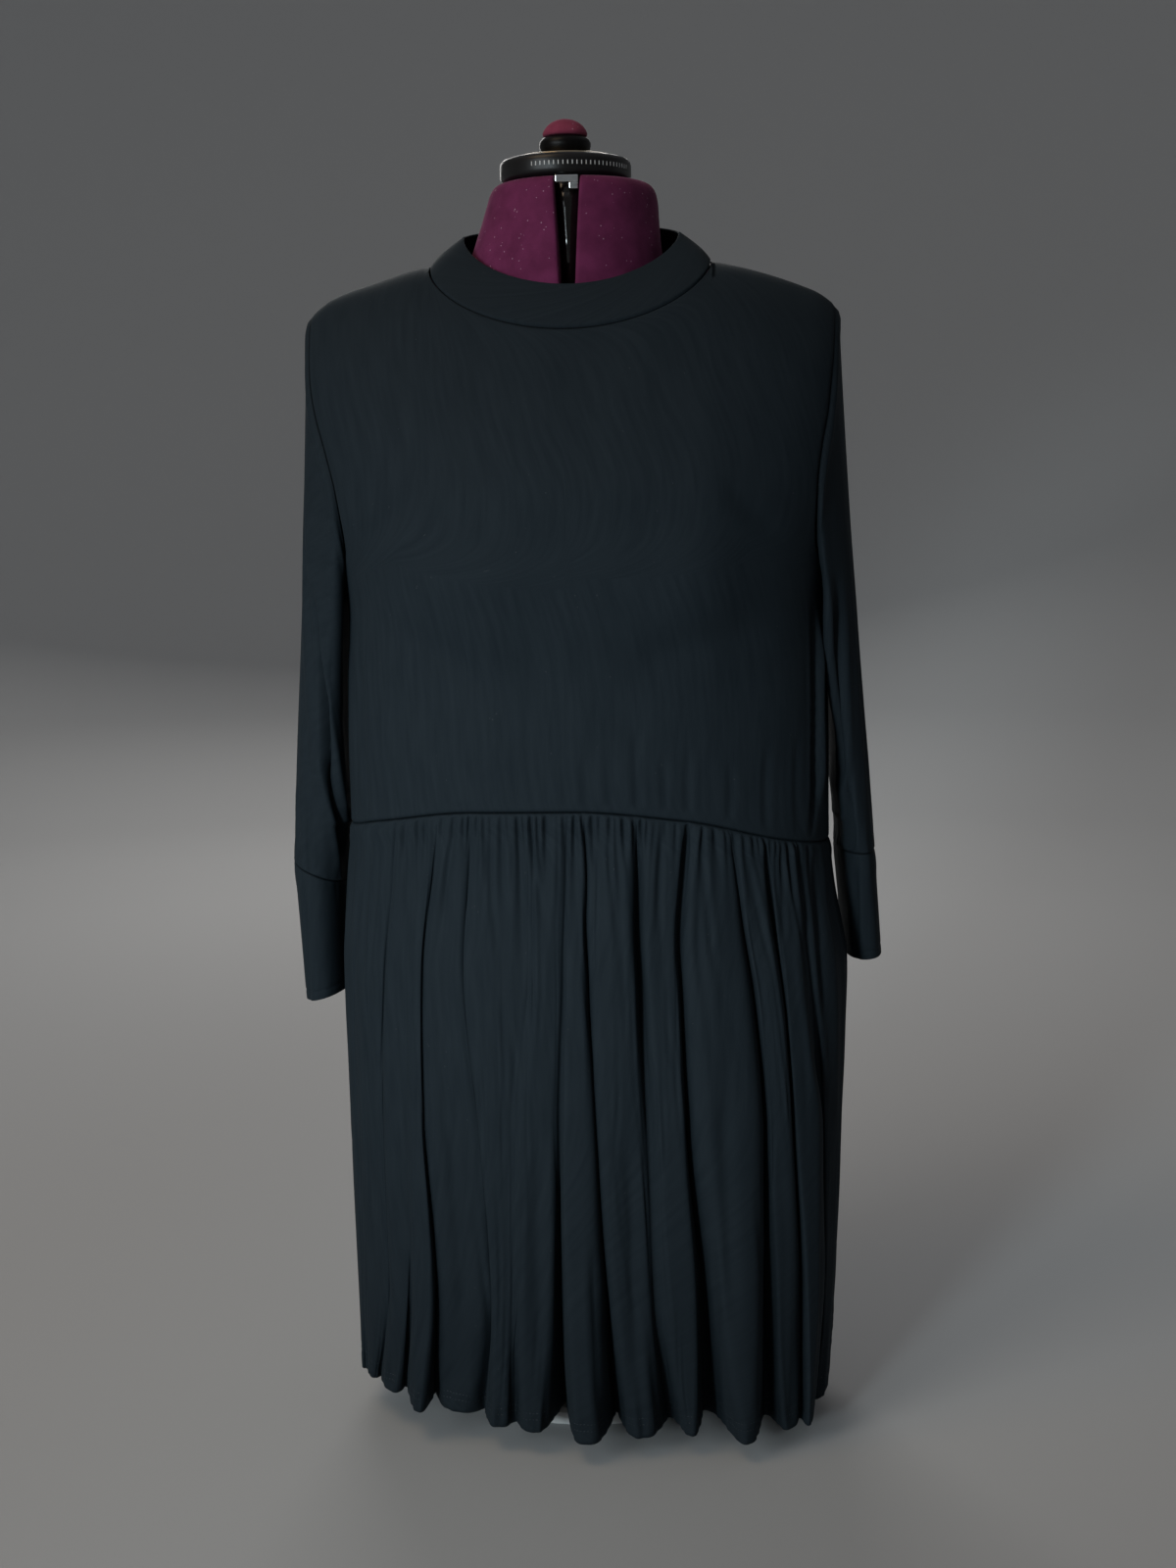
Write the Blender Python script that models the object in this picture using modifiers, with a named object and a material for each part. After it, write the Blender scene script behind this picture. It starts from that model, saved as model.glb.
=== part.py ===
"""Turtleneck jersey dress with a gathered skirt, worn on a limbless dress form on a short stand.

Metres, +Z up. The origin is the centre of the stand base's underside, the dress front faces -Y, and the
wearer's right hand is at -X. Each cloth piece is an open surface turned into a thin wall by Solidify; its
surface is worked out from the short tables below, one row for each section, edge point or fold.
"""
import bmesh
import bpy
import math
from collections import namedtuple
from mathutils import Matrix, Vector

# ---------------------------------------------------------------- driving dimensions
COLLECTION_NAME = "turtleneck_dress"
CLOTH = 0.0015            # wall of the cloth
SEAM_GAP = 0.0004         # clear space between two sewn pieces
SIDE_GAP = 0.0008         # how far a panel's side edge stays off the side plane
SECTION_POWER = 2.35      # 2 is an ellipse, more is squarer

FRONT = -1
BACK = 1
RIGHT_HAND = -1           # the wearer's right, at -X
LEFT_HAND = 1

UNDERARM_HEIGHT = 0.722
SHOULDER_TIP_HEIGHT = 0.948
SHOULDER_ROUND = {FRONT: 0.070, BACK: 0.050}   # height over which the front and back roll up to the seam
NECK_HALF_WIDTH = 0.116   # collar seam at the shoulder
NECK_SIDE_HEIGHT = 0.985
NECK_DROP = {FRONT: 0.059, BACK: 0.000}
NECK_DROP_POWER = 1.2

# Cross sections of the worn bodice and, below the waist, of the skirt's outermost line.
Section = namedtuple("Section", "height shift half_width front back")
BODICE_SECTIONS = (
    Section(0.500, 0.008, 0.204, 0.141, 0.112),
    Section(0.560, 0.008, 0.204, 0.144, 0.112),
    Section(0.640, 0.008, 0.203, 0.152, 0.112),
    Section(0.700, 0.008, 0.200, 0.161, 0.114),
    Section(0.740, 0.007, 0.204, 0.165, 0.118),
    Section(0.790, 0.005, 0.219, 0.164, 0.122),
    Section(0.840, 0.002, 0.229, 0.151, 0.124),
    Section(0.890, 0.000, 0.234, 0.130, 0.120),
    Section(0.930, 0.000, 0.235, 0.113, 0.112),
    Section(1.000, 0.000, 0.235, 0.102, 0.104),
)
SKIRT_SECTIONS = (
    Section(0.020, 0.005, 0.207, 0.152, 0.140),
    Section(0.150, 0.007, 0.212, 0.154, 0.137),
    Section(0.280, 0.009, 0.215, 0.154, 0.132),
    Section(0.400, 0.010, 0.217, 0.150, 0.126),
    Section(0.470, 0.008, 0.211, 0.146, 0.119),
    Section(0.540, 0.008, 0.205, 0.143, 0.112),
)

# The armhole edge of the bodice, from the underarm to the shoulder tip.
ArmholePoint = namedtuple("ArmholePoint", "height reach")
ARMHOLE = (
    ArmholePoint(0.722, 0.2005),
    ArmholePoint(0.755, 0.1905),
    ArmholePoint(0.800, 0.1935),
    ArmholePoint(0.830, 0.1990),
    ArmholePoint(0.865, 0.2075),
    ArmholePoint(0.900, 0.2125),
    ArmholePoint(0.930, 0.2155),
    ArmholePoint(0.948, 0.2175),
)

# Upright course of a seam or an edge, on the front and on the back.
LinePoint = namedtuple("LinePoint", "across front_height back_height")

# The shoulder seam, from the centre out.
SHOULDER_LINE = (
    LinePoint(0.000, 0.988, 1.006),
    LinePoint(0.070, 0.988, 1.000),
    LinePoint(0.116, 0.985, 0.985),
    LinePoint(0.160, 0.974, 0.974),
    LinePoint(0.200, 0.960, 0.960),
    LinePoint(0.2175, 0.948, 0.948),
)

# The waist seam; on the front it falls away to the wearer's left.
WAIST_HEIGHT = 0.520      # level whose section the seam's two ends lie on
WAIST_LINE = (
    LinePoint(-0.205, 0.520, 0.520),
    LinePoint(-0.160, 0.534, 0.516),
    LinePoint(-0.080, 0.546, 0.512),
    LinePoint(0.000, 0.547, 0.510),
    LinePoint(0.090, 0.538, 0.508),
    LinePoint(0.165, 0.518, 0.506),
    LinePoint(0.212, 0.505, 0.505),
)

SIDE_SEAM_ROWS = 7        # rows of a bodice panel below the underarm
ARMHOLE_ROWS = 8          # and above it
NECK_COLUMNS = 12         # columns of a bodice panel that end on the collar seam
SHOULDER_COLUMNS = 4      # and on each shoulder seam
PANEL_COLUMNS = NECK_COLUMNS + 2 * SHOULDER_COLUMNS
NECK_SHARE = NECK_COLUMNS / PANEL_COLUMNS

# Collar band: a ring from the collar seam up to a narrower top edge.
COLLAR_TOP_HALF_WIDTH = 0.090
COLLAR_TOP_DEPTH = {FRONT: 0.085, BACK: 0.074}
COLLAR_TOP_SIDE_HEIGHT = 1.010
COLLAR_TOP_RISE = {FRONT: -0.048, BACK: 0.016}
COLLAR_BULGE = 0.003
COLLAR_START = SEAM_GAP + 0.4 * CLOTH   # the band starts this far up from the seam line
COLLAR_COLUMNS = 2 * NECK_COLUMNS
COLLAR_ROWS = 3

# Sleeve and cuff rings: centre, half thickness across the body, half depth front to back, turn in degrees and
# how much the ring rises for each metre across to the wearer's left.
Ring = namedtuple("Ring", "x y z half_x half_y turn slope")
SLEEVE_END = {
    RIGHT_HAND: Ring(-0.2300, 0.034, 0.475, 0.0235, 0.054, 0.0, -0.42),
    LEFT_HAND: Ring(0.2360, 0.030, 0.492, 0.0150, 0.058, 4.0, 0.00),
}
CUFF_END = {
    RIGHT_HAND: Ring(-0.2288, 0.044, 0.363, 0.0195, 0.050, 0.0, 0.25),
    LEFT_HAND: Ring(0.2436, 0.046, 0.396, 0.0158, 0.052, 4.0, 0.12),
}
SLEEVE_RING_POWER = 2.2
SLEEVE_CAP = 0.0025       # the sleeve leaves the armhole outward by this before it hangs
SLEEVE_FLARE = 1.15       # above 1 the sleeve keeps close to the body at the top
SLEEVE_COLUMNS = 2 * ARMHOLE_ROWS
SLEEVE_ROWS = 12
CUFF_ROWS = 3

# Skirt folds, one row for each valley from the wearer's right to left: where it is seen from the front at the
# waist and at the four levels below it, how deep it is at those four, then for the crest after it where that is
# seen at the hem and how far it stands out there, and last the valley's sharpness (less is sharper).
FOLD_LEVELS = (0.0, 0.25, 0.50, 0.77, 1.0)      # shares of the drop from the waist to the hem
FOLD_START_LEVEL = 0.05
FOLD_START_SHARE = 0.42   # share of its first depth that a valley has at the start level
Fold = namedtuple("Fold", "places depths crest_place crest sharpness")
FRONT_FOLDS = (
    Fold((-0.182, -0.190, -0.194, -0.194, -0.196), (0.004, 0.006, 0.010, 0.020), -0.190, -0.022, 0.90),
    Fold((-0.147, -0.159, -0.164, -0.164, -0.181), (0.008, 0.010, 0.018, 0.040), -0.168, -0.026, 0.80),
    Fold((-0.134, -0.138, -0.141, -0.145, -0.157), (0.001, 0.004, 0.018, 0.048), -0.140, -0.012, 0.70),
    Fold((-0.110, -0.125, -0.127, -0.123, -0.130), (0.006, 0.011, 0.036, 0.062), -0.110, -0.036, 0.70),
    Fold((-0.082, -0.090, -0.080, -0.074, -0.085), (0.007, 0.011, 0.028, 0.056), -0.073, -0.024, 0.80),
    Fold((-0.036, -0.036, -0.046, -0.052, -0.057), (0.003, 0.005, 0.014, 0.040), -0.040, -0.022, 1.10),
    Fold((-0.003, -0.008, -0.014, -0.016, -0.018), (0.006, 0.014, 0.048, 0.088), 0.004, -0.006, 0.70),
    Fold((0.010, 0.011, 0.015, 0.021, 0.027), (0.014, 0.024, 0.048, 0.070), 0.048, -0.018, 0.62),
    Fold((0.052, 0.053, 0.058, 0.061, 0.071), (0.018, 0.012, 0.018, 0.056), 0.091, -0.016, 0.80),
    Fold((0.094, 0.085, 0.088, 0.098, 0.101), (0.016, 0.024, 0.042, 0.066), 0.136, 0.012, 0.66),
    Fold((0.126, 0.143, 0.152, 0.151, 0.151), (0.016, 0.022, 0.032, 0.036), 0.172, 0.010, 0.70),
    Fold((0.155, 0.168, 0.176, 0.183, 0.182), (0.016, 0.018, 0.016, 0.002), 0.190, 0.024, 0.80),
    Fold((0.182, 0.194, 0.203, 0.204, 0.197), (0.008, 0.012, 0.014, 0.014), 0.204, 0.000, 0.90),
)
BACK_FOLDS = (
    Fold((-0.186, -0.190, -0.196, -0.196, -0.194), (0.006, 0.008, 0.012, 0.020), -0.172, -0.004, 0.90),
    Fold((-0.148, -0.156, -0.158, -0.154, -0.156), (0.012, 0.018, 0.032, 0.052), -0.138, 0.002, 0.70),
    Fold((-0.112, -0.112, -0.106, -0.108, -0.114), (0.008, 0.012, 0.022, 0.040), -0.094, -0.012, 0.90),
    Fold((-0.064, -0.068, -0.070, -0.064, -0.068), (0.016, 0.022, 0.038, 0.062), -0.044, -0.004, 0.70),
    Fold((-0.022, -0.018, -0.012, -0.016, -0.022), (0.010, 0.012, 0.022, 0.042), 0.006, 0.004, 0.80),
    Fold((0.026, 0.030, 0.030, 0.036, 0.040), (0.018, 0.024, 0.038, 0.060), 0.060, -0.010, 0.70),
    Fold((0.070, 0.078, 0.086, 0.082, 0.080), (0.008, 0.012, 0.018, 0.036), 0.112, 0.000, 0.90),
    Fold((0.114, 0.126, 0.132, 0.134, 0.138), (0.016, 0.020, 0.034, 0.054), 0.160, -0.006, 0.70),
    Fold((0.162, 0.172, 0.178, 0.180, 0.184), (0.010, 0.014, 0.020, 0.034), 0.194, 0.004, 0.80),
)
FIRST_CREST = {FRONT: -0.008, BACK: -0.002}
FOLD_STEPS = (0.0, 0.13, 0.32, 0.5, 0.68, 0.87)   # columns within one fold, close together in the valley
SIDE_SHARPNESS = 1.0
HEM_SHARPNESS = 1.05      # at the hem the valleys open out and the crests round over
HEM_SHARPNESS_GROWTH = 4.0
CREST_GROWTH = 2.0        # the crests keep to the section at first and leave it towards the hem
CREST_FLATNESS = 1.5      # above the hem the crests are flat and the valleys narrow
CREST_FLATNESS_FALL = 3.0
HEM_ROUNDING = 0.75       # share of that flatness given up at the hem
CREST_LEAST_SHARE = 0.15  # a crest keeps this share of the fold's width from the valleys beside it
FORM_CLEARANCE = 0.004    # the folds keep this far off the dress form
EDGE_FADE_POWER = 14      # the folds die out this sharply at the side seams
WAIST_BLEND = 0.30        # share of the drop over which the skirt leaves the bodice's edge
SKIRT_ROWS = 7
HEM_HEIGHT = 0.020        # level whose section the hem lies on
HEM_LINE = (
    LinePoint(-0.215, 0.042, 0.042),
    LinePoint(-0.180, 0.036, 0.034),
    LinePoint(-0.100, 0.030, 0.028),
    LinePoint(0.000, 0.020, 0.024),
    LinePoint(0.100, 0.018, 0.026),
    LinePoint(0.185, 0.024, 0.056),
    LinePoint(0.207, 0.078, 0.078),
)

# Dress form under the cloth: rings from the hip edge up to the neck seam; dip lowers front and back.
FormSection = namedtuple("FormSection", "height half_width front back power dip")
FORM_SECTIONS = (
    FormSection(0.262, 0.136, 0.086, 0.078, 2.2, 0.0),
    FormSection(0.270, 0.150, 0.097, 0.088, 2.2, 0.0),
    FormSection(0.340, 0.164, 0.108, 0.098, 2.2, 0.0),
    FormSection(0.440, 0.154, 0.104, 0.092, 2.2, 0.0),
    FormSection(0.540, 0.140, 0.098, 0.082, 2.2, 0.0),
    FormSection(0.640, 0.151, 0.115, 0.086, 2.2, 0.0),
    FormSection(0.720, 0.166, 0.138, 0.097, 2.2, 0.0),
    FormSection(0.790, 0.180, 0.149, 0.106, 2.2, 0.0),
    FormSection(0.850, 0.194, 0.134, 0.111, 2.2, 0.0),
    FormSection(0.900, 0.205, 0.114, 0.107, 2.1, 0.0),
    FormSection(0.930, 0.208, 0.102, 0.098, 2.0, 0.002),
    FormSection(0.9455, 0.204, 0.095, 0.091, 1.8, 0.006),
    FormSection(0.9575, 0.188, 0.088, 0.085, 1.6, 0.011),
    FormSection(0.9695, 0.152, 0.082, 0.080, 1.5, 0.018),
    FormSection(0.9790, 0.112, 0.079, 0.077, 1.7, 0.024),
    FormSection(0.9840, 0.0885, 0.077, 0.075, 2.0, 0.027),
)
FORM_COLUMNS = 40
FORM_CAP_HALF_WIDTH = 0.036
FORM_CAP_HEIGHT = 0.950

# Neck of the form, in two halves with a slot between them.
NeckSection = namedtuple("NeckSection", "height right_half left_half depth slot dip")
NECK_SECTIONS = (
    NeckSection(0.9844, 0.0870, 0.0765, 0.0760, 0.0060, 0.0270),
    NeckSection(0.9980, 0.0815, 0.0745, 0.0735, 0.0072, 0.0130),
    NeckSection(1.0160, 0.0750, 0.0730, 0.0705, 0.0086, 0.0030),
    NeckSection(1.0330, 0.0695, 0.0720, 0.0680, 0.0097, 0.0000),
    NeckSection(1.0440, 0.0660, 0.0694, 0.0655, 0.0104, 0.0000),
    NeckSection(1.0492, 0.0600, 0.0630, 0.0600, 0.0106, 0.0000),
    NeckSection(1.0505, 0.0520, 0.0550, 0.0520, 0.0106, 0.0000),
)
NECK_ARC_STEPS = 16
NECK_TOP = 1.0505
NECK_CAP_DROP = 0.022     # the hidden underside's middle lies this far below its edge
NECK_CAP_REACH = {"bottom": 0.3, "top": 0.4}   # and this share of the half width from the slot
COLUMN_GAP = 0.0005
COLUMN_DEPTH = 0.056      # half depth of the black column in the slot
COLUMN_BOTTOM = 0.9590
COLUMN_TOP = NECK_TOP - 0.0003
LATCH_HEIGHT = 0.011
LATCH_THICKNESS = 0.006
LATCH_TOP = NECK_TOP - 0.001
LATCH_BEVEL = 0.0008

TURN_STEPS = 40
DIAL_SHIFT = -0.004       # the dial sits a little to the wearer's right of the neck
DIAL_PROFILE = ((0.0, 1.0694), (0.0440, 1.0694), (0.0505, 1.0686), (0.0535, 1.0664), (0.0542, 1.0630),
                (0.0542, 1.0560), (0.0532, 1.0526), (0.0505, 1.0508), (0.0, 1.0508))
PLATE_PROFILE = ((0.0, 1.0722), (0.0340, 1.0720), (0.0405, 1.0710), (0.0415, 1.0697), (0.0, 1.0697))
KNOB_PROFILE = ((0.0, 1.0880), (0.0160, 1.0878), (0.0198, 1.0860), (0.0214, 1.0824), (0.0208, 1.0782),
                (0.0186, 1.0745), (0.0176, 1.0725), (0.0, 1.0725))
CUSHION_PROFILE = ((0.0, 1.1022), (0.0070, 1.1012), (0.0130, 1.0983), (0.0172, 1.0940), (0.0186, 1.0900),
                   (0.0180, 1.0883), (0.0, 1.0883))
POLE_PROFILE = ((0.0, 0.2617), (0.0300, 0.2617), (0.0300, 0.2560), (0.0170, 0.2520), (0.0130, 0.2440),
                (0.0130, 0.0500), (0.0190, 0.0440), (0.0190, 0.0223), (0.0, 0.0223))
BASE_PROFILE = ((0.0, 0.0220), (0.0250, 0.0220), (0.0400, 0.0180), (0.0920, 0.0130), (0.0985, 0.0100),
                (0.1000, 0.0060), (0.0990, 0.0000), (0.0, 0.0000))
BASE_NARROWING = 0.65     # the base is an oval, shallower from front to back

Finish = namedtuple("Finish", "colour roughness metallic")
FINISHES = {
    "black_jersey": Finish((0.012, 0.017, 0.021, 1.0), 0.85, 0.0),
    "wine_knit": Finish((0.110, 0.016, 0.050, 1.0), 0.90, 0.0),
    "black_plastic": Finish((0.012, 0.011, 0.011, 1.0), 0.18, 0.0),
    "brass": Finish((0.560, 0.400, 0.160, 1.0), 0.30, 1.0),
    "chrome": Finish((0.800, 0.800, 0.790, 1.0), 0.15, 1.0),
    "stand_enamel": Finish((0.550, 0.550, 0.540, 1.0), 0.40, 0.0),
}


# ---------------------------------------------------------------- scene helpers
def clear_scene():
    for scene_object in list(bpy.data.objects):
        bpy.data.objects.remove(scene_object, do_unlink=True)


def make_material(name):
    finish = FINISHES[name]
    material = bpy.data.materials.new(name)
    material.use_nodes = True
    shader = material.node_tree.nodes["Principled BSDF"]
    shader.inputs["Base Color"].default_value = finish.colour
    shader.inputs["Roughness"].default_value = finish.roughness
    shader.inputs["Metallic"].default_value = finish.metallic
    return material


def make_object(name, mesh, collection, material):
    new_object = bpy.data.objects.new(name, mesh)
    new_object.data.materials.append(material)
    collection.objects.link(new_object)
    return new_object


def add_wall(cloth_object):
    """Solidify towards the inside of the garment, so the outer face keeps the worked-out surface."""
    wall = cloth_object.modifiers.new("wall", "SOLIDIFY")
    wall.thickness = CLOTH
    wall.offset = -1.0


def grid_mesh(name, rows, closed):
    """Mesh of quads through rows of points; closed joins the last column to the first."""
    mesh = bpy.data.meshes.new(name)
    grid = bmesh.new()
    vertices = [[grid.verts.new(point) for point in row] for row in rows]
    count = len(rows[0])
    for lower, upper in zip(vertices, vertices[1:]):
        for index in range(count if closed else count - 1):
            following = (index + 1) % count
            grid.faces.new((lower[index], lower[following], upper[following], upper[index]))
    grid.to_mesh(mesh)
    grid.free()
    mesh.shade_smooth()
    return mesh


# ---------------------------------------------------------------- curves through the tables
def smooth_curve(keys, values, position):
    """Value at a position, on a smooth curve through the values that never overshoots them."""
    if position <= keys[0]:
        return values[0]
    if position >= keys[-1]:
        return values[-1]
    index = max(i for i, key in enumerate(keys[:-1]) if key <= position)

    def slope(i):
        return (values[i + 1] - values[i]) / (keys[i + 1] - keys[i])

    def tangent(i):
        if i == 0 or i == len(keys) - 1:
            return slope(min(i, len(keys) - 2))
        before, after = slope(i - 1), slope(i)
        if before * after <= 0.0:
            return 0.0
        return 2.0 * before * after / (before + after)

    width = keys[index + 1] - keys[index]
    t = (position - keys[index]) / width
    start_share = (1.0 + 2.0 * t) * (1.0 - t) ** 2
    end_share = t * t * (3.0 - 2.0 * t)
    start_slope = t * (1.0 - t) ** 2 * width * tangent(index)
    end_slope = t * t * (t - 1.0) * width * tangent(index + 1)
    return start_share * values[index] + end_share * values[index + 1] + start_slope + end_slope


def smooth_value(rows, key, name, position):
    """Value of a table's column at a position on another column."""
    keys = [getattr(row, key) for row in rows]
    values = [getattr(row, name) for row in rows]
    return smooth_curve(keys, values, position)


def mix(start, end, share):
    return start + (end - start) * share


def signed_power(value, power):
    return math.copysign(abs(value) ** power, value)


def depth_column(side):
    return "front" if side == FRONT else "back"


def height_column(side):
    return "front_height" if side == FRONT else "back_height"


# ---------------------------------------------------------------- bodice
def shoulder_height(x, side):
    return smooth_value(SHOULDER_LINE, "across", height_column(side), abs(x))


def body_depth(x, z, side):
    """How far the bodice stands off the side plane at a place seen from the front."""
    shift = smooth_value(BODICE_SECTIONS, "height", "shift", z)
    half_width = smooth_value(BODICE_SECTIONS, "height", "half_width", z)
    depth = smooth_value(BODICE_SECTIONS, "height", depth_column(side), z)
    reach = min(1.0, abs(x - shift) / half_width)
    flank = (1.0 - reach ** SECTION_POWER) ** (1.0 / SECTION_POWER)
    below_seam = min(1.0, max(0.0, (shoulder_height(x, side) - z) / SHOULDER_ROUND[side]))
    roll = math.sqrt(1.0 - (1.0 - below_seam) ** 2)
    return depth * flank * roll


def edge_x(z, hand):
    """Side seam below the underarm, armhole edge above it."""
    shift = smooth_value(BODICE_SECTIONS, "height", "shift", z)
    if z <= UNDERARM_HEIGHT:
        return shift + hand * smooth_value(BODICE_SECTIONS, "height", "half_width", z)
    return shift + hand * smooth_value(ARMHOLE, "height", "reach", z)


def neck_seam(turn, side):
    """Point of the collar seam: turn runs from -1 at the wearer's right shoulder to 1 at the left."""
    across = NECK_HALF_WIDTH * math.sin(0.5 * math.pi * turn)
    fall = abs(math.cos(0.5 * math.pi * turn)) ** NECK_DROP_POWER
    height = NECK_SIDE_HEIGHT - NECK_DROP[side] * fall
    return across, height


def panel_top(place, side):
    """Top edge of a bodice panel: the collar seam in the middle, the shoulder seams outside it."""
    if abs(place) <= NECK_SHARE:
        return neck_seam(place / NECK_SHARE, side)
    out = (abs(place) - NECK_SHARE) / (1.0 - NECK_SHARE)
    tip = SHOULDER_LINE[-1].across
    across = math.copysign(mix(NECK_HALF_WIDTH, tip, out), place)
    return across, shoulder_height(across, side)


def panel_bottom(place, side):
    """Waist edge of a bodice panel or top edge of a skirt panel."""
    share = signed_power(math.sin(0.5 * math.pi * place), 2.0 / SECTION_POWER)
    shift = smooth_value(BODICE_SECTIONS, "height", "shift", WAIST_HEIGHT)
    half_width = smooth_value(BODICE_SECTIONS, "height", "half_width", WAIST_HEIGHT)
    across = shift + half_width * share
    return across, smooth_value(WAIST_LINE, "across", height_column(side), across)


def armhole_height(turn):
    """Height on the armhole, turn 0 at the underarm and 1 at the shoulder tip."""
    middle = 0.5 * (SHOULDER_TIP_HEIGHT + UNDERARM_HEIGHT)
    return middle - (SHOULDER_TIP_HEIGHT - middle) * math.cos(math.pi * turn)


def panel_rises():
    """Share of the way up a panel's side edge for each row; the rows above the underarm fit the armhole."""
    lowest = WAIST_LINE[0].front_height
    span = SHOULDER_TIP_HEIGHT - lowest
    underarm = (UNDERARM_HEIGHT - lowest) / span
    rises = [underarm * step / SIDE_SEAM_ROWS for step in range(SIDE_SEAM_ROWS)]
    for step in range(ARMHOLE_ROWS + 1):
        rises.append((armhole_height(step / ARMHOLE_ROWS) - lowest) / span)
    return rises


def edge_height(rise, hand, side):
    """Height of a panel's side edge; both hands share the armhole's heights."""
    lowest = WAIST_LINE[0].front_height
    level = mix(lowest, SHOULDER_TIP_HEIGHT, rise)
    if level >= UNDERARM_HEIGHT:
        return level
    seam_end = panel_bottom(hand, side)[1]
    return mix(seam_end, UNDERARM_HEIGHT, (level - lowest) / (UNDERARM_HEIGHT - lowest))


def bodice_rows(side):
    rows = []
    for rise in panel_rises():
        row = []
        for column in range(PANEL_COLUMNS + 1):
            place = -1.0 + 2.0 * column / PANEL_COLUMNS
            hand = math.copysign(1.0, place)
            low_x, low_z = panel_bottom(place, side)
            high_x, high_z = panel_top(place, side)
            edge_low = panel_bottom(hand, side)
            edge_high = panel_top(hand, side)
            edge_z = edge_height(rise, hand, side)
            low_share = low_x / edge_low[0]
            high_share = high_x / edge_high[0]
            x = edge_x(edge_z, hand) * mix(low_share, high_share, rise * rise * (3.0 - 2.0 * rise))
            level = (edge_z - edge_low[1]) / (edge_high[1] - edge_low[1])
            z = mix(low_z, high_z, level)
            y = side * max(SIDE_GAP, body_depth(x, z, side))
            row.append(Vector((x, y, z)))
        rows.append(row)
    return rows


def make_bodice(name, side, collection, material):
    rows = bodice_rows(side)
    if side == BACK:
        rows = [row[::-1] for row in rows]
    bodice = make_object(name, grid_mesh(name, rows, False), collection, material)
    add_wall(bodice)
    return bodice


# ---------------------------------------------------------------- collar
def collar_point(angle, rise):
    """Angle 0 is the wearer's left shoulder and a quarter turn is the centre front."""
    side = FRONT if math.sin(angle) > -1e-9 else BACK
    turn = 1.0 - 2.0 * math.acos(math.cos(angle)) / math.pi
    seam_x, seam_z = neck_seam(turn, side)
    seam = Vector((seam_x, side * body_depth(seam_x, seam_z, side), seam_z))
    lift = abs(math.sin(angle)) ** NECK_DROP_POWER
    top = Vector((COLLAR_TOP_HALF_WIDTH * math.cos(angle),
                  side * COLLAR_TOP_DEPTH[side] * abs(math.sin(angle)),
                  COLLAR_TOP_SIDE_HEIGHT + COLLAR_TOP_RISE[side] * lift))
    up_band = (top - seam).normalized()
    outward = Vector((seam.x, seam.y, 0.0)).normalized()
    start = seam + up_band * COLLAR_START
    return start.lerp(top, rise) + outward * COLLAR_BULGE * math.sin(math.pi * rise)


def make_collar(collection, material):
    angles = [2.0 * math.pi * column / COLLAR_COLUMNS for column in range(COLLAR_COLUMNS)]
    rows = []
    for step in range(COLLAR_ROWS + 1):
        rows.append([collar_point(-angle, step / COLLAR_ROWS) for angle in angles])
    band = make_object("collar_band", grid_mesh("collar_band", rows, True), collection, material)
    add_wall(band)
    return band


# ---------------------------------------------------------------- sleeves and cuffs
def armhole_point(angle, hand):
    """Angle 0 is the shoulder tip and a quarter turn is the front of the armhole."""
    z = armhole_height(1.0 - math.acos(math.cos(angle)) / math.pi)
    x = edge_x(z, hand)
    side = FRONT if math.sin(angle) > 0.0 else BACK
    y = side * body_depth(x, z, side)
    return Vector((x + hand * SEAM_GAP, y, z))


def ring_point(ring, angle, hand):
    out = ring.half_x * signed_power(math.cos(angle), 2.0 / SLEEVE_RING_POWER)
    forward = ring.half_y * signed_power(math.sin(angle), 2.0 / SLEEVE_RING_POWER)
    turned = Matrix.Rotation(math.radians(ring.turn), 3, "Z") @ Vector((hand * out, -forward, 0.0))
    turned.z = ring.slope * turned.x
    return turned + Vector((ring.x, ring.y, ring.z))


def tube_angles(hand):
    """Columns round a tube, in the order that keeps the outer face outside on both arms."""
    steps = range(SLEEVE_COLUMNS)
    return [hand * 2.0 * math.pi * step / SLEEVE_COLUMNS for step in steps]


def make_sleeve(name, hand, collection, material):
    rows = []
    angles = tube_angles(hand)
    rows.append([armhole_point(angle, hand) for angle in angles])
    for step in range(SLEEVE_ROWS):
        along = step / (SLEEVE_ROWS - 1)
        row = []
        for angle in angles:
            start = armhole_point(angle, hand)
            start.x += hand * SLEEVE_CAP
            end = ring_point(SLEEVE_END[hand], angle, hand)
            point = start.lerp(end, along)
            point.x = mix(start.x, end.x, along ** SLEEVE_FLARE)
            row.append(point)
        rows.append(row)
    sleeve = make_object(name, grid_mesh(name, rows, True), collection, material)
    add_wall(sleeve)
    return sleeve


def make_cuff(name, hand, collection, material):
    top = SLEEVE_END[hand]
    top = top._replace(z=top.z - SEAM_GAP)
    rows = []
    for step in range(CUFF_ROWS + 1):
        along = step / CUFF_ROWS
        ring = Ring(*(mix(start, end, along) for start, end in zip(top, CUFF_END[hand])))
        rows.append([ring_point(ring, angle, hand) for angle in tube_angles(hand)])
    cuff = make_object(name, grid_mesh(name, rows, True), collection, material)
    add_wall(cuff)
    return cuff


# ---------------------------------------------------------------- skirt
Station = namedtuple("Station", "place depth crest lean sharpness")


def skirt_sizes(height, side):
    shift = smooth_value(SKIRT_SECTIONS, "height", "shift", height)
    half_width = smooth_value(SKIRT_SECTIONS, "height", "half_width", height)
    depth = smooth_value(SKIRT_SECTIONS, "height", depth_column(side), height)
    return shift, half_width, depth


def skirt_place(across, height, side):
    """Place round the section, -1 to 1, of a point seen at this x from the front."""
    shift, half_width, depth = skirt_sizes(height, side)
    share = max(-1.0, min(1.0, (across - shift) / half_width))
    return math.copysign(math.asin(abs(share) ** (SECTION_POWER / 2.0)), share) * 2.0 / math.pi


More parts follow.
